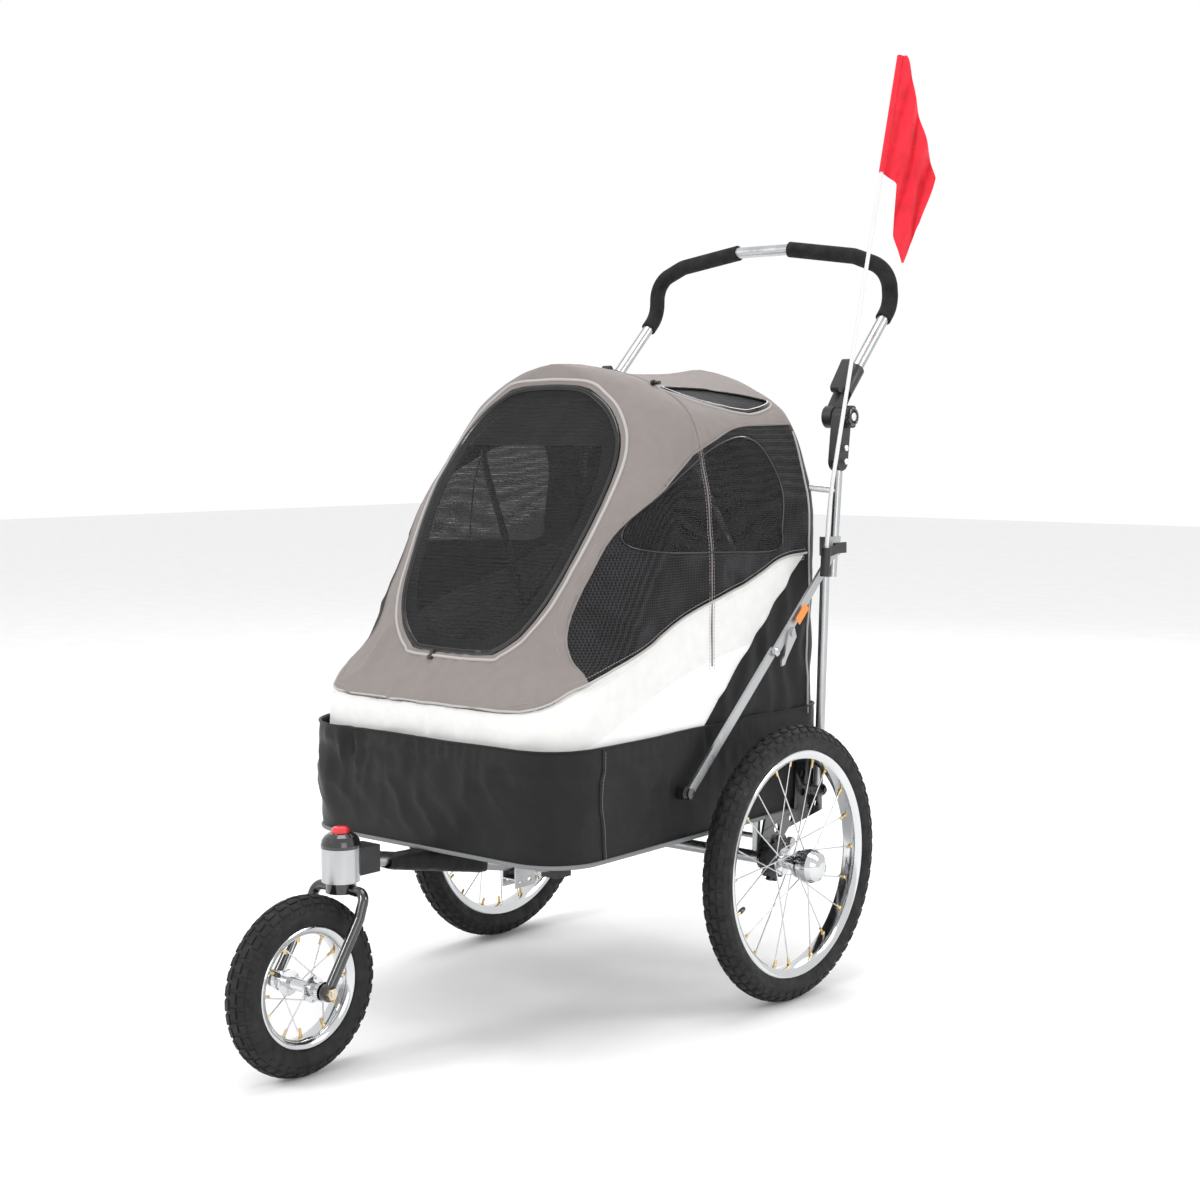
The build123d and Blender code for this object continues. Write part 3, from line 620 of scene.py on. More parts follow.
# The roof opening from above, (x, y)
VENT = [(.134, -.112), (.160, -.060), (.176, 0), (.178, .050), (.166, .101), (.140, .062), (.120, .010),
        (.118, -.050)]
REAR_EDGE = 0.118
HEM_LIFT = 0.0032


def half_ring(level, counts):
    """Half of a tapered rectangle with round corners, from the front's middle to the rear's."""
    fw, rw, fy, ry, fr, rr = level[:6]
    lean = math.atan2(ry - fy, rw - fw)
    front_t, rear_t = fr * math.tan(lean / 2), rr * math.tan((math.pi - lean) / 2)
    along = Vector((math.cos(lean), math.sin(lean)))
    front_end, side_start = Vector((fw - front_t, fy)), Vector((fw, fy)) + along * front_t
    side_end, rear_start = Vector((rw, ry)) - along * rear_t, Vector((rw - rear_t, ry))
    points = [Vector((0, fy)).lerp(front_end, i / counts[0]) for i in range(counts[0])]
    centre_f = front_end + Vector((0, fr))
    points += [centre_f + fr * Vector((math.sin(a), -math.cos(a))) for a in
               (lean * i / counts[1] for i in range(counts[1]))]
    points += [side_start.lerp(side_end, i / counts[2]) for i in range(counts[2])]
    centre_r = rear_start - Vector((0, rr))
    points += [centre_r + rr * Vector((math.sin(a), -math.cos(a))) for a in
               (lean + (math.pi - lean) * i / counts[3] for i in range(counts[3]))]
    points += [rear_start.lerp(Vector((0, ry)), i / counts[4]) for i in range(counts[4] + 1)]
    return points


def full_ring(level, counts):
    half = half_ring(level, counts)
    ring = half + [Vector((-p.x, p.y)) for p in half[-2:0:-1]]
    return [at(p.x, p.y, level[6]) for p in ring]


def between_levels(levels, rows):
    """Levels filled in smoothly between the given ones."""
    out = []
    for i, count in enumerate(rows):
        p1, p2 = levels[i], levels[i + 1]
        p0 = levels[i - 1] if i else tuple(2 * a - b for a, b in zip(p1, p2))
        p3 = levels[i + 2] if i + 2 < len(levels) else tuple(2 * b - a for a, b in zip(p1, p2))
        for k in range(count):
            t = k / count
            out.append(tuple(0.5 * (2 * b + (c - a) * t + (2 * a - 5 * b + 4 * c - d) * t * t
                                    + (3 * b - a - 3 * c + d) * t ** 3)
                             for a, b, c, d in zip(p0, p1, p2, p3)))
    out.append(levels[-1])
    return out


def shell_mesh(levels, counts, close_top):
    bm = bmesh.new()
    rings = [[bm.verts.new(p) for p in full_ring(level, counts)] for level in levels]
    n = len(rings[0])
    for low, high in zip(rings, rings[1:]):
        for i in range(n):
            j = (i + 1) % n
            bm.faces.new((low[i], low[j], high[j], high[i]))
    if close_top:
        top = rings[-1]
        for i in range(n // 2):
            a, b, c, d = top[i], top[i + 1], top[(n - i - 1) % n], top[(n - i) % n]
            corners = [v for k, v in enumerate((a, b, c, d)) if v not in (a, b, c, d)[:k]]
            if len(corners) >= 3:
                bm.faces.new(corners)
    bmesh.ops.recalc_face_normals(bm, faces=bm.faces)
    return bm


def flat_axes(direction):
    """Two axes square to a viewing direction."""
    u = Vector((0, 1, 0)) if abs(direction.x) > 0.9 else Vector((1, 0, 0))
    return u, direction.cross(u).normalized()


def cut(bm, line, direction, where=None):
    """Splits faces exactly along a line of points seen along a direction."""
    bm.faces.ensure_lookup_table()
    u, v = flat_axes(direction)
    axes = np.array([u, v]).T
    mids = np.array([f.calc_center_median() for f in bm.faces])
    flat, corners = mids @ axes, np.array(line) @ axes
    near = np.zeros(len(mids), bool)
    for a, b in zip(corners, corners[1:]):
        d = b - a
        t = np.clip(((flat - a) @ d) / max(d @ d, 1e-12), 0, 1)
        near |= np.linalg.norm(flat - a - t[:, None] * d, axis=1) < 0.014
    if where is not None:
        near &= where(mids)
    faces = {bm.faces[i] for i in np.nonzero(near)[0]}
    for a, b in zip(line, line[1:]):
        normal = (b - a).cross(direction)
        if normal.length < 1e-7:
            continue
        d = b - a
        d = d - direction * d.dot(direction)
        chosen = []
        for f in faces:
            if f.is_valid:
                t = (f.calc_center_median() - a).dot(d) / d.length_squared
                if -0.9 < t < 1.9 or abs(t) * d.length < 0.012:
                    chosen.append(f)
        geom = chosen + list({e for f in chosen for e in f.edges})
        geom += list({w for f in chosen for w in f.verts})
        result = bmesh.ops.bisect_plane(bm, geom=geom, dist=1e-6, plane_co=a, plane_no=normal.normalized())
        faces.update(g for g in result["geom"] if isinstance(g, bmesh.types.BMFace))


def inside(outline, a, b):
    """For each point (a, b): is it inside the outline?"""
    hit = np.zeros(len(a), bool)
    for (x1, y1), (x2, y2) in zip(outline, outline[1:] + outline[:1]):
        crosses = (y1 > b) != (y2 > b)
        with np.errstate(divide="ignore", invalid="ignore"):
            hit ^= crosses & (a < (x2 - x1) * (b - y1) / (y2 - y1) + x1)
    return hit


def flat_curve(points, steps=5, closed=False):
    return [(p.x, p.y) for p in curve_through([Vector((a, b, 0)) for a, b in points], steps, closed)]


def side_line(points):
    return [at(0, y, z) for y, z in points]


def door_outline(inset, steps=3):
    half = [(w - inset, DOOR_MIDDLE + (s - DOOR_MIDDLE) * (1 - inset / DOOR_MIDDLE)) for s, w in DOOR_HALF]
    return flat_curve(half + [(-w, s) for w, s in half[::-1]], steps, True)


def on_door(w, s):
    return at(*DOOR_ORIGIN) + X_DIR * w + DOOR_UP * s


BAND_CURVE = flat_curve(BAND_TOP)
SWOOSH_CURVE = flat_curve(SWOOSH)
SEAM_CURVE = flat_curve(SEAM)
BOW_CURVE = flat_curve(BOW_SEAM)
ROOF_CURVE = flat_curve(ROOF_EDGE[:4]) + [(.300, .831)]
WINDOW_CURVE = flat_curve(WINDOW, 4, True)
VENT_CURVE = flat_curve(VENT, 4, True)


def crease(p, scale, seed):
    return noise.noise(Vector((p.x * scale, p.y * scale, p.z * scale)) + Vector((seed, seed * 2.3, -seed)))


def canopy_shift(p):
    """How far the cloth at p stands off its smooth shape, along its normal, and how far it sags."""
    y, z = p.y - AXLE_Y, p.z
    out = 0.0012 * crease(p, 18, 3) + 0.0006 * crease(p, 55, 9)
    door = p - on_door(0, 0.10)
    w, s = door.dot(X_DIR), door.dot(DOOR_UP)
    reach = math.hypot(w, s)
    below = smoothstep(0.02, -0.09, s) * smoothstep(0.13, 0.17, reach) * smoothstep(0.32, 0.2, reach)
    if y < -0.25 and below > 0:
        angle = math.atan2(w, -s)
        fold = 1 - abs(math.sin(angle * 6.5 + 3.0 * crease(p, 7, 5)))
        out += below * (0.0085 * fold * fold - 0.0022) * (0.6 + 0.9 * crease(p, 9, 8))
    top = smoothstep(0.05, 0.0, abs(z - 0.50)) * smoothstep(-0.36, -0.42, y)
    out += top * 0.0012 * math.sin(p.x * 210 + 3 * crease(p, 14, 2))
    folds = smoothstep(-0.16, -0.05, y) * smoothstep(0.66, 0.60, z) * smoothstep(0.2, 0.225, abs(p.x))
    fold = math.sin(y * 2 * math.pi / 0.052 + 5.0 * crease(p, 9, 6))
    out += folds * 0.0034 * fold * (0.5 + 0.9 * crease(p, 7, 4))
    window = smoothstep(0.03, 0.10, 0.17 - math.hypot((y + 0.10) * 0.9, (z - 0.73) * 1.7))
    window *= smoothstep(0.19, 0.21, abs(p.x))
    out -= 0.004 * window * (0.7 + 0.6 * crease(p, 7, 1))
    sag = 0.0
    if z > 0.80 and -0.15 < y < 0.15:
        sag = 0.011 * math.sin(math.pi * (y + 0.15) / 0.30) * smoothstep(0.80, 0.89, z)
    return out, sag


def shift_verts(bm, rule):
    bm.normal_update()
    moves = [(v, v.normal.copy(), rule(v.co)) for v in bm.verts]
    for v, normal, (out, sag) in moves:
        v.co += normal * out - Z_DIR * sag


def panel(chosen, name, body, looks, thick, slots=None, push=None):
    """Makes one cloth piece from some of the shell's faces; push lifts its points off the shell."""
    index, verts, faces = {}, [], []
    for f in chosen:
        for v in f.verts:
            if v.index not in index:
                index[v.index] = len(verts)
                verts.append(v.co + v.normal * push(v.co) if push else v.co.copy())
        faces.append(tuple(index[v.index] for v in f.verts))
    obj = new_object(name, verts, faces, looks, slots)
    thicken(obj, thick)
    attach(obj, body)
    return obj


def hem_flap(p):
    """The front panel's hem stands off the band below it."""
    y, z = p.y - AXLE_Y, p.z
    edge = along_line([(-a, b) for a, b in BAND_CURVE], -y)
    return 0.0005 + HEM_LIFT * smoothstep(0.035, 0.0, z - edge) * (1 + 0.9 * crease(p, 16, 31))


def fold_with_frame(piece):
    """Gives the piece its own copy of its mesh."""
    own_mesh(piece)


def near_front(mids):
    return mids[:, 1] - AXLE_Y < -0.10


def near_vent(mids):
    return mids[:, 0] > 0.08


def make_canopy():
    levels = between_levels(CANOPY, CANOPY_ROWS)
    bm = shell_mesh(levels, (26, 26, 92, 12, 26), True)
    for line in (BAND_CURVE, SWOOSH_CURVE, SEAM_CURVE, BOW_CURVE, ROOF_CURVE,
                 WINDOW_CURVE + WINDOW_CURVE[:1], STRUT_LINE):
        cut(bm, side_line(line), X_DIR)
    for inset in (DOOR_EDGE, DOOR_BORDER):
        outline = door_outline(inset)
        cut(bm, [on_door(w, s) for w, s in outline + outline[:1]], DOOR_NORMAL, near_front)
    cut(bm, [on_door(-0.16, DOOR_BAND), on_door(0.16, DOOR_BAND)], DOOR_NORMAL, near_front)
    cut(bm, [at(x, y, 0.9) for x, y in VENT_CURVE + VENT_CURVE[:1]], Z_DIR, near_vent)
    cut(bm, side_line([(REAR_EDGE, 0.39), (REAR_EDGE, 0.832)]), X_DIR)
    shift_verts(bm, canopy_shift)
    bm.verts.index_update()
    bm.faces.ensure_lookup_table()
    mids = np.array([f.calc_center_median() for f in bm.faces])
    x, y, z = mids[:, 0], mids[:, 1] - AXLE_Y, mids[:, 2]
    door = mids - np.array(at(*DOOR_ORIGIN))
    w, s = door[:, 0], door @ np.array(DOOR_UP)
    is_front = (y < -0.10) & (door @ np.array(DOOR_NORMAL) > -0.12)
    in_door = inside(door_outline(DOOR_EDGE), w, s) & is_front
    in_mesh = inside(door_outline(DOOR_BORDER), w, s) & is_front
    in_band = inside([(-.8, .3), (-.8, .455)] + BAND_CURVE + STRUT_LINE[1:], y, z)
    in_white = inside([(-.8, .3), (-.8, .398)] + SWOOSH_CURVE + [(.02, .3)], y, z)
    in_front = inside([(-.8, .455)] + BAND_CURVE[:16] + SEAM_CURVE[1:] + BOW_CURVE[1:] + [(-.8, .960)],
                      y, z)
    in_roof = inside(ROOF_CURVE + [(.300, .960)] + BOW_CURVE[::-1][:-1], y, z)
    in_side = inside(BAND_CURVE[15:] + [(REAR_EDGE, .641), (REAR_EDGE, .831)] + ROOF_CURVE[-2::-1]
                     + SEAM_CURVE[::-1][:-1], y, z)
    in_window = inside(WINDOW_CURVE, y, z) & (abs(x) > 0.12)
    in_vent = inside(VENT_CURVE, x, y) & (z > 0.8)
    groups = {key: [] for key in ("mesh", "border", "band", "front", "roof", "vent", "window", "side",
                                  "rest")}
    for i, f in enumerate(bm.faces):
        if in_door[i]:
            key = "mesh" if in_mesh[i] else "border"
        elif in_band[i]:
            key = "band"
        elif in_front[i]:
            key = "front"
        elif in_roof[i]:
            key = "vent" if in_vent[i] else "roof"
        elif in_side[i]:
            key = "window" if in_window[i] else "side"
        else:
            key = "rest"
        groups[key].append(f)
    white = [0 if in_white[f.index] else 1 for f in groups["band"]]
    dark_top = [1 if s[f.index] > DOOR_BAND else 0 for f in groups["mesh"]]
    made = {
        "band": panel(groups["band"], "band_cloth", "chassis", ["white", "offwhite"], 0.0016, white),
        "canopy_front": panel(groups["front"], "canopy_front_cloth", "chassis", ["taupe"], 0.0016,
                              push=hem_flap),
        "canopy_roof": panel(groups["roof"], "canopy_roof_cloth", "chassis", ["taupe"], 0.0016),
        "rear_panel": panel(groups["rest"], "rear_panel_cloth", "chassis", ["nylon"], 0.0016),
        "side_panels": panel(groups["side"], "side_panel_mesh", "chassis", ["mesh3d"], 0.0016),
        "windows": panel(groups["window"], "window_mesh_cloth", "chassis", ["window"], 0.0006),
        "roof_vent": panel(groups["vent"], "roof_vent_mesh", "chassis", ["mesh3d"], 0.0008),
    }
    for node, piece in made.items():
        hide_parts(node)
        fold_with_frame(piece)
    door_mesh = panel(groups["mesh"], "door_mesh_cloth", "door", ["door", "door_dark"], 0.0006, dark_top)
    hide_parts("door_mesh")
    border = panel(groups["border"], "door_border_cloth", "door", ["door_dark"], 0.0014)
    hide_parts("door_border")
    fold_with_frame(door_mesh)
    fold_with_frame(border)
    tree = BVHTree.FromBMesh(bm)
    bm.free()
    return tree


def hit(tree, start, direction):
    place, normal = tree.ray_cast(start, direction)[:2]
    if place is None:
        return None
    return place, (normal if normal.dot(direction) < 0 else -normal)


def shot_from_side(tree, line, side):
    """The line's points on the cloth, seen from one side, each with its normal."""
    shots = [hit(tree, at(side * 0.5, y, z), X_DIR * -side) for y, z in line]
    return [shot for shot in shots if shot]


def shot_from_door(tree, outline):
    shots = [hit(tree, on_door(w, s) + DOOR_NORMAL * 0.3, -DOOR_NORMAL) for w, s in outline]
    return [shot for shot in shots if shot]


def shot_from_above(tree, points):
    shots = [hit(tree, at(x, y, 1.1), -Z_DIR) for x, y in points]
    return [shot for shot in shots if shot]


def offset_flat(line, distance):
    """A flat line moved sideways."""
    out = []
    for i, p in enumerate(line):
        a, b = line[max(i - 1, 0)], line[min(i + 1, len(line) - 1)]
        dx, dy = b[0] - a[0], b[1] - a[1]
        length = math.hypot(dx, dy) or 1.0
        out.append((p[0] - dy / length * distance, p[1] + dx / length * distance))
    return out


def lift(shots, height):
    return [place + normal * height for place, normal in shots]


def stitch(builder, points, length=0.0034, gap=0.0016, radius=0.00038, slot=0):
    """A row of short straight thread stitches."""
    line = evenly(points, 0.0008)
    per, skip = round(length / 0.0008), round(gap / 0.0008)
    for i in range(0, len(line) - per, per + skip):
        a, b = line[i], line[i + per]
        builder.tube([a, a.lerp(b, 0.5), b], radius, 5, slot)


def make_trim(tree):
    """Piping, stitching and zips along the cloth's seams."""
    pipe, thread = Builder(), Builder()
    nose = []
    for i in range(-12, 13):
        shot = hit(tree, at(0.0115 * i, -0.9, 0.4565), Y_DIR)
        if shot:
            nose.append(shot)
    band = [p for p in flat_curve(BAND_TOP, 8) if p[0] > -0.452]
    right, left = shot_from_side(tree, band, 1), shot_from_side(tree, band, -1)
    hem = left[::-1] + nose + right
    pipe.tube(lift(hem, HEM_LIFT), 0.0017, 10, 0)
    for shift in (-0.006, -0.0095, 0.006):
        row = offset_flat(band, shift)
        for side in (1, -1):
            stitch(thread, lift(shot_from_side(tree, row, side), HEM_LIFT if shift > 0 else 0.0002),
                   slot=0 if shift > 0 else 1)
    for side in (1, -1):
        seam = shot_from_side(tree, flat_curve(SEAM, 8), side)
        pipe.tube(lift(seam, 0.0002), 0.0016, 8, 1)
        stitch(thread, lift(shot_from_side(tree, offset_flat(flat_curve(SEAM, 8), 0.006), side), 0.0002))
        swoosh = shot_from_side(tree, flat_curve(SWOOSH[1:-1], 8), side)
        stitch(thread, lift(swoosh, 0.0001), slot=1)
        roof = shot_from_side(tree, flat_curve(ROOF_EDGE[:4] + [(0.118, .831)], 8), side)
        pipe.tube(lift(roof, 0.0002), 0.0016, 8, 1)
        rear = shot_from_side(tree, [(REAR_EDGE, 0.40 + 0.01 * i) for i in range(43)], side)
        pipe.tube(lift(rear, 0.0003), 0.0018, 8, 0)
        window = flat_curve(WINDOW, 6, True)
        edge = shot_from_side(tree, window, side)
        pipe.tube(lift(edge, 0.0003), 0.0014, 8, 2, closed=True)
        grown = [((y + 0.10) * 1.035 - 0.10, (z - 0.73) * 1.06 + 0.73) for y, z in window]
        stitch(thread, lift(shot_from_side(tree, grown, side), 0.0002), slot=2)
    turns = [math.pi * i / 60 for i in range(61)]
    bow = shot_from_above(tree, [(0.235 * math.cos(a), -0.115 - 0.01 * math.cos(2 * a)) for a in turns])
    pipe.tube(lift(bow, 0.0001), 0.0013, 8, 1)
    for shift in (-0.005, 0.005):
        row = [(place.x, place.y + shift - AXLE_Y) for place, normal in bow]
        stitch(thread, lift(shot_from_above(tree, row), 0.0002))
    vent = flat_curve(VENT, 8, True)
    pipe.tube(lift(shot_from_above(tree, vent), 0.0006), 0.0040, 10, 2, closed=True, flat=0.5)
    rim = [(0.147 + (x - 0.147) * 1.14, y * 1.05) for x, y in vent]
    pipe.tube(lift(shot_from_above(tree, rim), 0.0004), 0.0018, 8, 0, closed=True)
    piping = pipe.piece("canopy_piping", "chassis", ["pale_piping", "taupe", "zip"])
    threads = thread.piece("canopy_stitching", "chassis", ["thread", "offwhite", "zip"])
    for piece in (piping, threads):
        fold_with_frame(piece)
    frame_ring = Builder()
    outer = shot_from_door(tree, door_outline(-0.006, 8))
    frame_ring.tube(lift(outer, 0.0006), 0.0023, 10, 0, closed=True)
    fixed = frame_ring.piece("door_frame_piping", "chassis", ["pale_piping"])
    fold_with_frame(fixed)
    zip_track = Builder()
    inner = shot_from_door(tree, door_outline(0.005, 8))
    zip_track.tube(lift(inner, 0.0004), 0.0042, 10, 0, closed=True, flat=0.45)
    teeth = evenly(lift(inner, 0.0021), 0.0026)
    for a, b in zip(teeth, teeth[1:]):
        zip_track.box(a, (b - a).normalized(), DOOR_NORMAL, (0.0015, 0.0044, 0.0009), 1)
    zip_piece = zip_track.piece("door_zip", "door", ["zip", "gloss"])
    fold_with_frame(zip_piece)


def tub_shift(p):
    """Gathers under the top edge, soft creases and a slight belly, drawn in beside the folding stays."""
    z = (p.z - TUB[0][6]) / (TUB[1][6] - TUB[0][6])
    girth = math.atan2(p.x, -(p.y - AXLE_Y + 0.15)) * 0.42
    inner = math.sin(math.pi * min(max(z, 0), 1))
    out = 0.0030 * inner * (0.8 + 0.5 * crease(p, 5, 2))
    upright = noise.noise(Vector((girth * 26, z * 1.1, 4.0)))
    here = smoothstep(0.15, 0.9, z) * smoothstep(0.0, 0.3, crease(p, 4, 17) + 0.15)
    out += 0.0045 * (1 - abs(upright) * 3.2) * here
    slanted = noise.noise(Vector((girth * 15 + z * 2.4, z * 2.6 - girth * 4, 9.0)))
    out += 0.0032 * (1 - abs(slanted) * 3.0) * inner
    gather = smoothstep(0.72, 0.95, z) * max(0.0, 0.3 + 1.6 * crease(p, 6, 3))
    out += gather * 0.0011 * math.sin(girth * 260 + 9 * crease(p, 7, 7))
    fold_z = 0.80 + 0.06 * crease(p, 4, 12)
    out -= 0.0018 * math.exp(-((z - fold_z) / 0.05) ** 2)
    out += 0.0009 * crease(p, 26, 5)
    wave = 0.0026 * crease(p, 8, 41) * smoothstep(0.85, 1.0, z)
    out *= smoothstep(0.0, 0.12, z) * smoothstep(1.04, 0.9, z)
    swept_by_stay = smoothstep(-0.30, -0.20, p.y - AXLE_Y) * smoothstep(0.19, 0.215, abs(p.x))
    out = out * (1 - swept_by_stay) + (out * 0.35 - 0.0022) * swept_by_stay
    return out, wave


def make_tub():
    counts = (34, 26, 110, 14, 34)
    levels = between_levels(TUB, [44])
    bm = shell_mesh(levels, counts, False)
    shift_verts(bm, tub_shift)
    bm.verts.index_update()
    body = panel(list(bm.faces), "tub_cloth", "chassis", ["nylon"], 0.0022)
    bm.verts.ensure_lookup_table()
    top_edge = [v.co.copy() for v in list(bm.verts)[-2 * sum(counts):]]
    tree = BVHTree.FromBMesh(bm)
    bm.free()
    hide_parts("tub")
    floor = Builder()
    ring = full_ring(TUB[0], counts)
    inner = [Vector((p.x * 0.93, (p.y - AXLE_Y + 0.15) * 0.95 + AXLE_Y - 0.15, p.z - 0.0006)) for p in ring]
    n = len(ring)
    middle = at(0, -0.15, TUB[0][6] - 0.0006)
    floor.add(ring + inner + [middle], [(i, (i + 1) % n, n + (i + 1) % n, n + i) for i in range(n)]
              + [(n + i, n + (i + 1) % n, 2 * n) for i in range(n)])
    base = floor.piece("tub_base_cloth", "chassis", ["nylon"])
    trim = Builder()
    trim.tube([p + Vector((0, 0, 0.0015)) for p in ring], 0.0030, 10, 0, closed=True)
    trim.tube([p - Z_DIR * 0.0012 for p in top_edge], 0.0017, 10, 1, closed=True)
    stitches = Builder()
    for corner in (1, -1):
        seam = []
        for i in range(30):
            z = 0.262 + 0.0051 * i
            shot = hit(tree, at(corner * 0.36, -0.62, z), Vector((-corner * 0.42, 0.9, 0)).normalized())
            if shot:
                seam.append(shot)
        trim.tube(lift(seam, 0.0002), 0.0012, 8, 1)
        for shift in (-0.005, 0.005):
            stitch(stitches, [p + X_DIR * shift for p in lift(seam, 0.0004)], slot=0)
    trim.piece("tub_piping", "chassis", ["piping", "nylon"])
    stitches.piece("tub_stitching", "chassis", ["piping"])


def make_cushion():
    """The floor pad: crowned, pulled in at its edge seam and along its sewn channels."""
    low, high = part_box("floor_cushion")
    level = (.231, .219, -.443, .145, .064, .030, low.z)
    builder = Builder()
    rings = []
    steps = [(0.0, 1.0), (0.25, 1.004), (0.5, 1.006), (0.75, 1.0), (0.9, 0.985), (0.97, 0.965), (1.0, 0.93)]
    steps += [(1.0, 0.93 - 0.0465 * i) for i in range(1, 20)]
    thick = high.z - low.z
    middle = at(0, -0.149, 0)
    for up, scale in steps:
        ring = []
        for p in full_ring(level, (14, 10, 40, 6, 14)):
            q = middle.lerp(Vector((p.x, p.y, 0)), scale)
            channel = min(abs((q.y - AXLE_Y + 0.149) % 0.098 - 0.049), 0.049) / 0.049
            dip = 0.007 * math.exp(-((1 - channel) / 0.12) ** 2) * smoothstep(0.97, 0.9, scale)
            q.z = low.z + up * thick - dip + 0.0008 * crease(q, 20, 4)
            ring.append(q)
        rings.append(ring)
    n = len(rings[0])
    verts = [p for ring in rings for p in ring]
    caps = [tuple(range(n))[::-1], tuple((len(rings) - 1) * n + i for i in range(n))]
    builder.add(verts, caps + strips(len(rings), n))
    pad = builder.piece("floor_pad", "chassis", ["pad"], smooth=70)
    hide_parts("floor_cushion")


# ---- flag ---------------------------------------------------------------------------------------

FLAG_TOP, FLAG_FOOT, FLAG_TIP = 1.384, 1.206, 1.070
FLAG_OUTER = [(1.384, .010), (1.377, .014), (1.197, .080), (1.130, .070), (1.096, .058), (1.070, .054)]
FLAG_INNER = [(1.384, 0), (1.206, 0), (1.188, .026), (1.112, .034), (1.070, .052)]


def along_line(points, z):
    for (z1, h1), (z2, h2) in zip(points, points[1:]):
        if z2 <= z <= z1:
            return h1 + (h2 - h1) * (z1 - z) / (z1 - z2)
    return points[-1][1]


def make_flag():
    """The pennant hangs limp from its sleeve, in folds that grow away from the pole."""
    pole_low, pole_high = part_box("flag_pole")
    pole_x = (pole_low.x + pole_high.x) / 2
    lean = (0.286 - 0.108) / (FLAG_TOP - 0.725)
    out, across = Vector((0.766, 0.643, 0)), Vector((0.643, -0.766, 0))
    rows, columns = 110, 46
    verts = []
    for r in range(rows + 1):
        z = FLAG_TOP - (FLAG_TOP - FLAG_TIP) * r / rows
        root = at(pole_x, 0.286 + (z - FLAG_TOP) * lean, z)
        near, far = along_line(FLAG_INNER, z), along_line(FLAG_OUTER, z)
        for c in range(columns + 1):
            t = c / columns
            h = near + (far - near) * t
            free = smoothstep(0.0, 0.03, h)
            swing = math.sin(h * 210 + (1.39 - z) * 16) * 0.0068 + math.sin(h * 95 - z * 22) * 0.004
            swing += 0.0025 * noise.noise(Vector((h * 40, z * 18, 2)))
            verts.append(root + out * (h + 0.002 * math.cos(h * 190 + z * 30) * free) + across * swing * free)
    builder = Builder()
    builder.add(verts, strips(rows + 1, columns + 1, wrap=False))
    flag = builder.piece("pennant_cloth", "flag", ["flag"], smooth=80)
    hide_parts("flag_cloth")
    thicken(flag, 0.0005)
    sleeve = Builder()
    line = []
    for i in range(45):
        z = FLAG_FOOT + (FLAG_TOP - FLAG_FOOT) * i / 44
        line.append(at(pole_x, 0.286 + (z - FLAG_TOP) * lean, z))
    sleeve.tube(line, 0.0044, 14, 0)
    tube = sleeve.piece("pennant_sleeve", "flag", ["flag"])
    tip = Builder()
    top = line[-1]
    up = (line[-1] - line[-2]).normalized()
    tip.lathe([(0, 0), (0, 0.0042), (0.003, 0.0043), (0.006, 0.0030), (0.0068, 0)], top - up * 0.006,
              up, 20, closed=False)
    tip.piece("pole_tip", "flag", ["pole"])


def make_sleeve():
    """The creased cloth sleeve round the front arm."""
    low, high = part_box("arm_sleeve")
    tube_low, tube_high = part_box("arm_tube")
    slope = (tube_high.z - tube_low.z - 0.0196) / (tube_high.y - tube_low.y)
    rings, around = 44, 40
    verts = []
    for i in range(rings):
        t = i / (rings - 1)
        y = low.y + (high.y - low.y) * t
        mid_z = low.z + 0.0155 + (1 - t) * (high.y - low.y) * slope
        for k in range(around):
            a = 2 * math.pi * k / around
            wide = 0.0166 * math.copysign(abs(math.cos(a)) ** 0.6, math.cos(a))
            tall = 0.0148 * math.copysign(abs(math.sin(a)) ** 0.6, math.sin(a))
            p = Vector((wide, y, mid_z + tall))
            pinch = 1 - 0.10 * (smoothstep(0.06, 0.0, t) + smoothstep(0.94, 1.0, t))
            puff = pinch * (1 + 0.05 * noise.noise(p * 60) + 0.03 * noise.noise(p * 140))
            verts.append(Vector((wide * puff, y, min(mid_z + tall * puff, high.z))))
    builder = Builder()
    builder.add(verts, strips(rings, around))
    sleeve = builder.piece("arm_sleeve_cloth", "chassis", ["nylon"], smooth=70)
    thicken(sleeve, 0.0012)
    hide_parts("arm_sleeve")


def make_sliders():
    """The zip sliders: the door's rides on the door, the roof's sits on the chassis with the roof cloth."""
    source = NODES["zip_sliders"]
    points = [source.matrix_world @ v.co for v in source.data.vertices]
    for name, body, is_roof in (("door_slider", "door", False), ("vent_slider", "chassis", True)):
        own = [p for p in points if (p.z > 0.7) == is_roof]
        low = Vector([min(p[i] for p in own) for i in range(3)])
        high = Vector([max(p[i] for p in own) for i in range(3)])
        middle, size = (low + high) / 2, high - low
        along = X_DIR if size.x > size.y else Y_DIR
        slope = along if is_roof else Vector((0, 0.55, 0.83))
        builder = Builder()
        reach = max(size) * 0.5
        line = [middle + slope * reach * t for t in (-1.0, -0.6, -0.2, 0.2, 0.6, 1.0)]
        builder.tube(line, 0.0030, 12, 0)
        builder.tube([middle - slope * reach * 0.95, middle - slope * reach * 0.35], 0.0046, 12, 0)
        piece = builder.piece(name, body, ["gloss"])
        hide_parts("zip_sliders")
        fold_with_frame(piece)


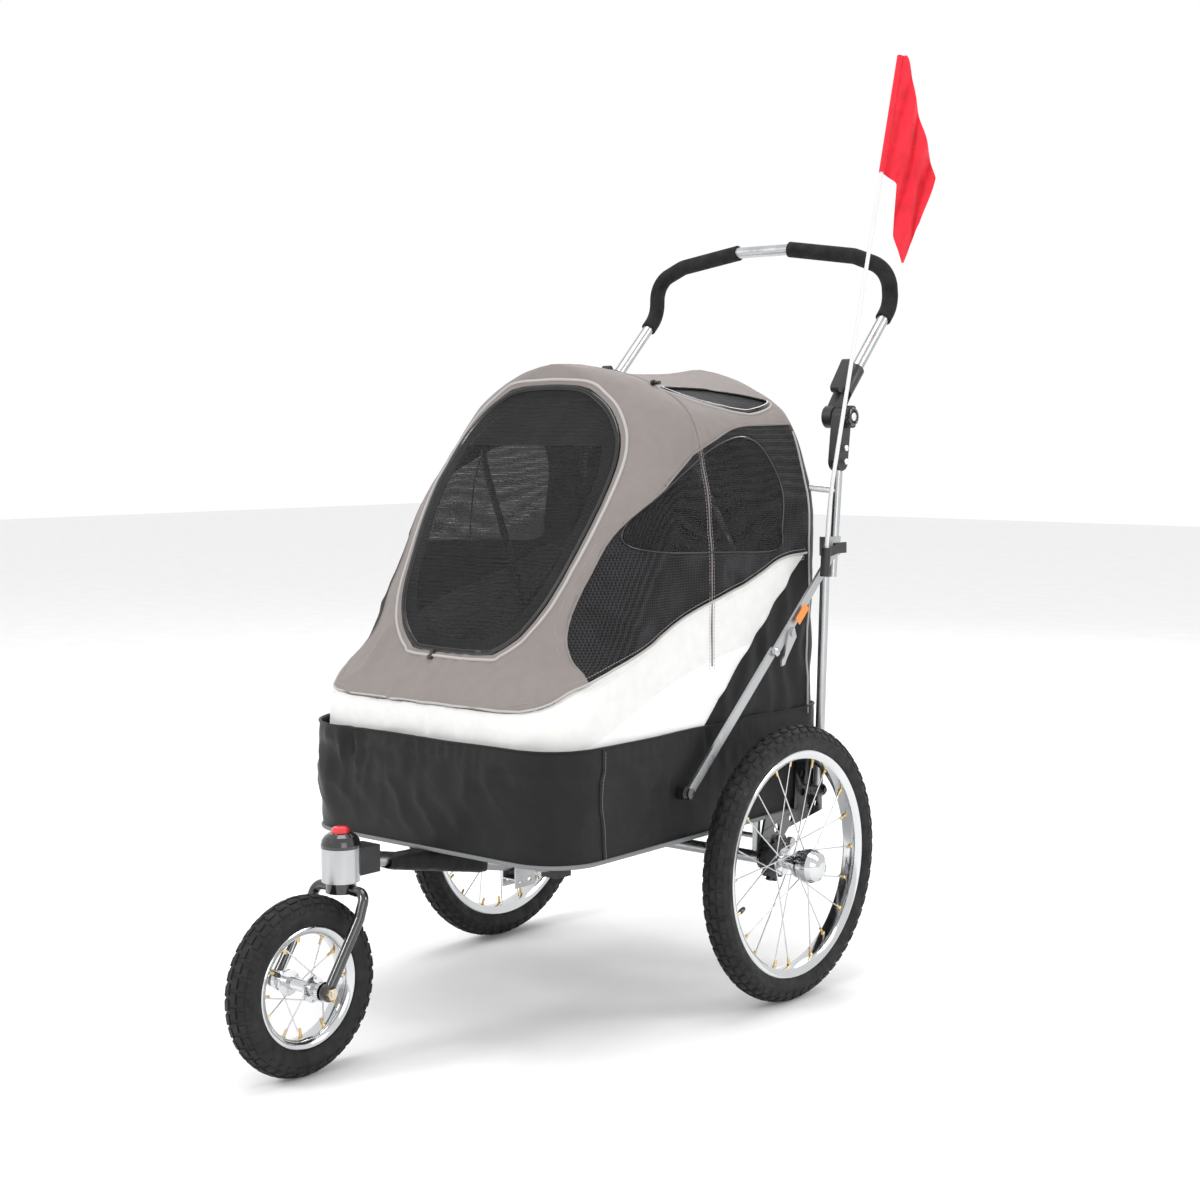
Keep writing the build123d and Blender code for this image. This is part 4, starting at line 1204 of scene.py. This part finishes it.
def make_fittings():
    """The knobs' rings, the screws of the handle joints and the plain tags on the side links."""
    for side, word in ((1, "left"), (-1, "right")):
        out = X_DIR * side
        low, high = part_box("knob_" + word)
        middle, face = (low + high) / 2, high.x if side > 0 else low.x
        ring = Builder()
        place = Vector((face, middle.y, middle.z))
        ring.lathe([(-0.001, 0.0135), (0.0006, 0.0128), (0.0012, 0.0118), (0.0012, 0.0100),
                    (0.0002, 0.0095)], place, out, 48, slot=0, closed=False)
        ring.lathe([(0.0, 0.0062), (0.0010, 0.0058), (0.0016, 0.0040), (0.0018, 0.0)], place, out, 32, slot=1,
                   closed=False)
        piece = ring.piece("knob_trim_" + word, "knob_" + word, ["gloss", "rivet"])
        low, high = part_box("joint_housings")
        face = (high.x if side > 0 else low.x) + 0.0002 * side
        screws = Builder()
        for z in (low.z + 0.014, low.z + 0.034):
            screws.lathe([(0.0, 0.0046), (0.0010, 0.0043), (0.0018, 0.0028), (0.0020, 0.0)],
                         Vector((face, (low.y + high.y) / 2 - 0.002, z)), out, 28, slot=0, closed=False)
        screws.piece("housing_screws_" + word, "rear_frame", ["rivet"])
        tag = Builder()
        low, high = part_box("upper_link_" + word)
        face = high.x if side > 0 else low.x
        foot, top = at(0, -0.011, 0.5057), at(0, 0.145, 0.648)
        way = (top - foot).normalized()
        across = out.cross(way).normalized()
        corners = []
        for a, b in ((-1, -1), (1, -1), (1, 1), (-1, 1)):
            p = foot.lerp(top, 0.36) + way * 0.016 * a + across * 0.0068 * b
            corners.append(Vector((face + 0.0005 * side, p.y, p.z)))
        back = [c - out * 0.0006 for c in corners]
        order = [(0, 1, 2, 3), (7, 6, 5, 4), (0, 4, 5, 1), (1, 5, 6, 2), (2, 6, 7, 3), (3, 7, 4, 0)]
        tag.add(corners + back, order)
        tag.piece("link_tag_" + word, "upper_link_" + word, ["label"])


MATS = make_materials()
make_camera()
make_studio()
dress_nodes()
make_wheels()
cloth_tree = make_canopy()
make_trim(cloth_tree)
make_tub()
make_cushion()
make_sleeve()
make_sliders()
make_fittings()
make_flag()
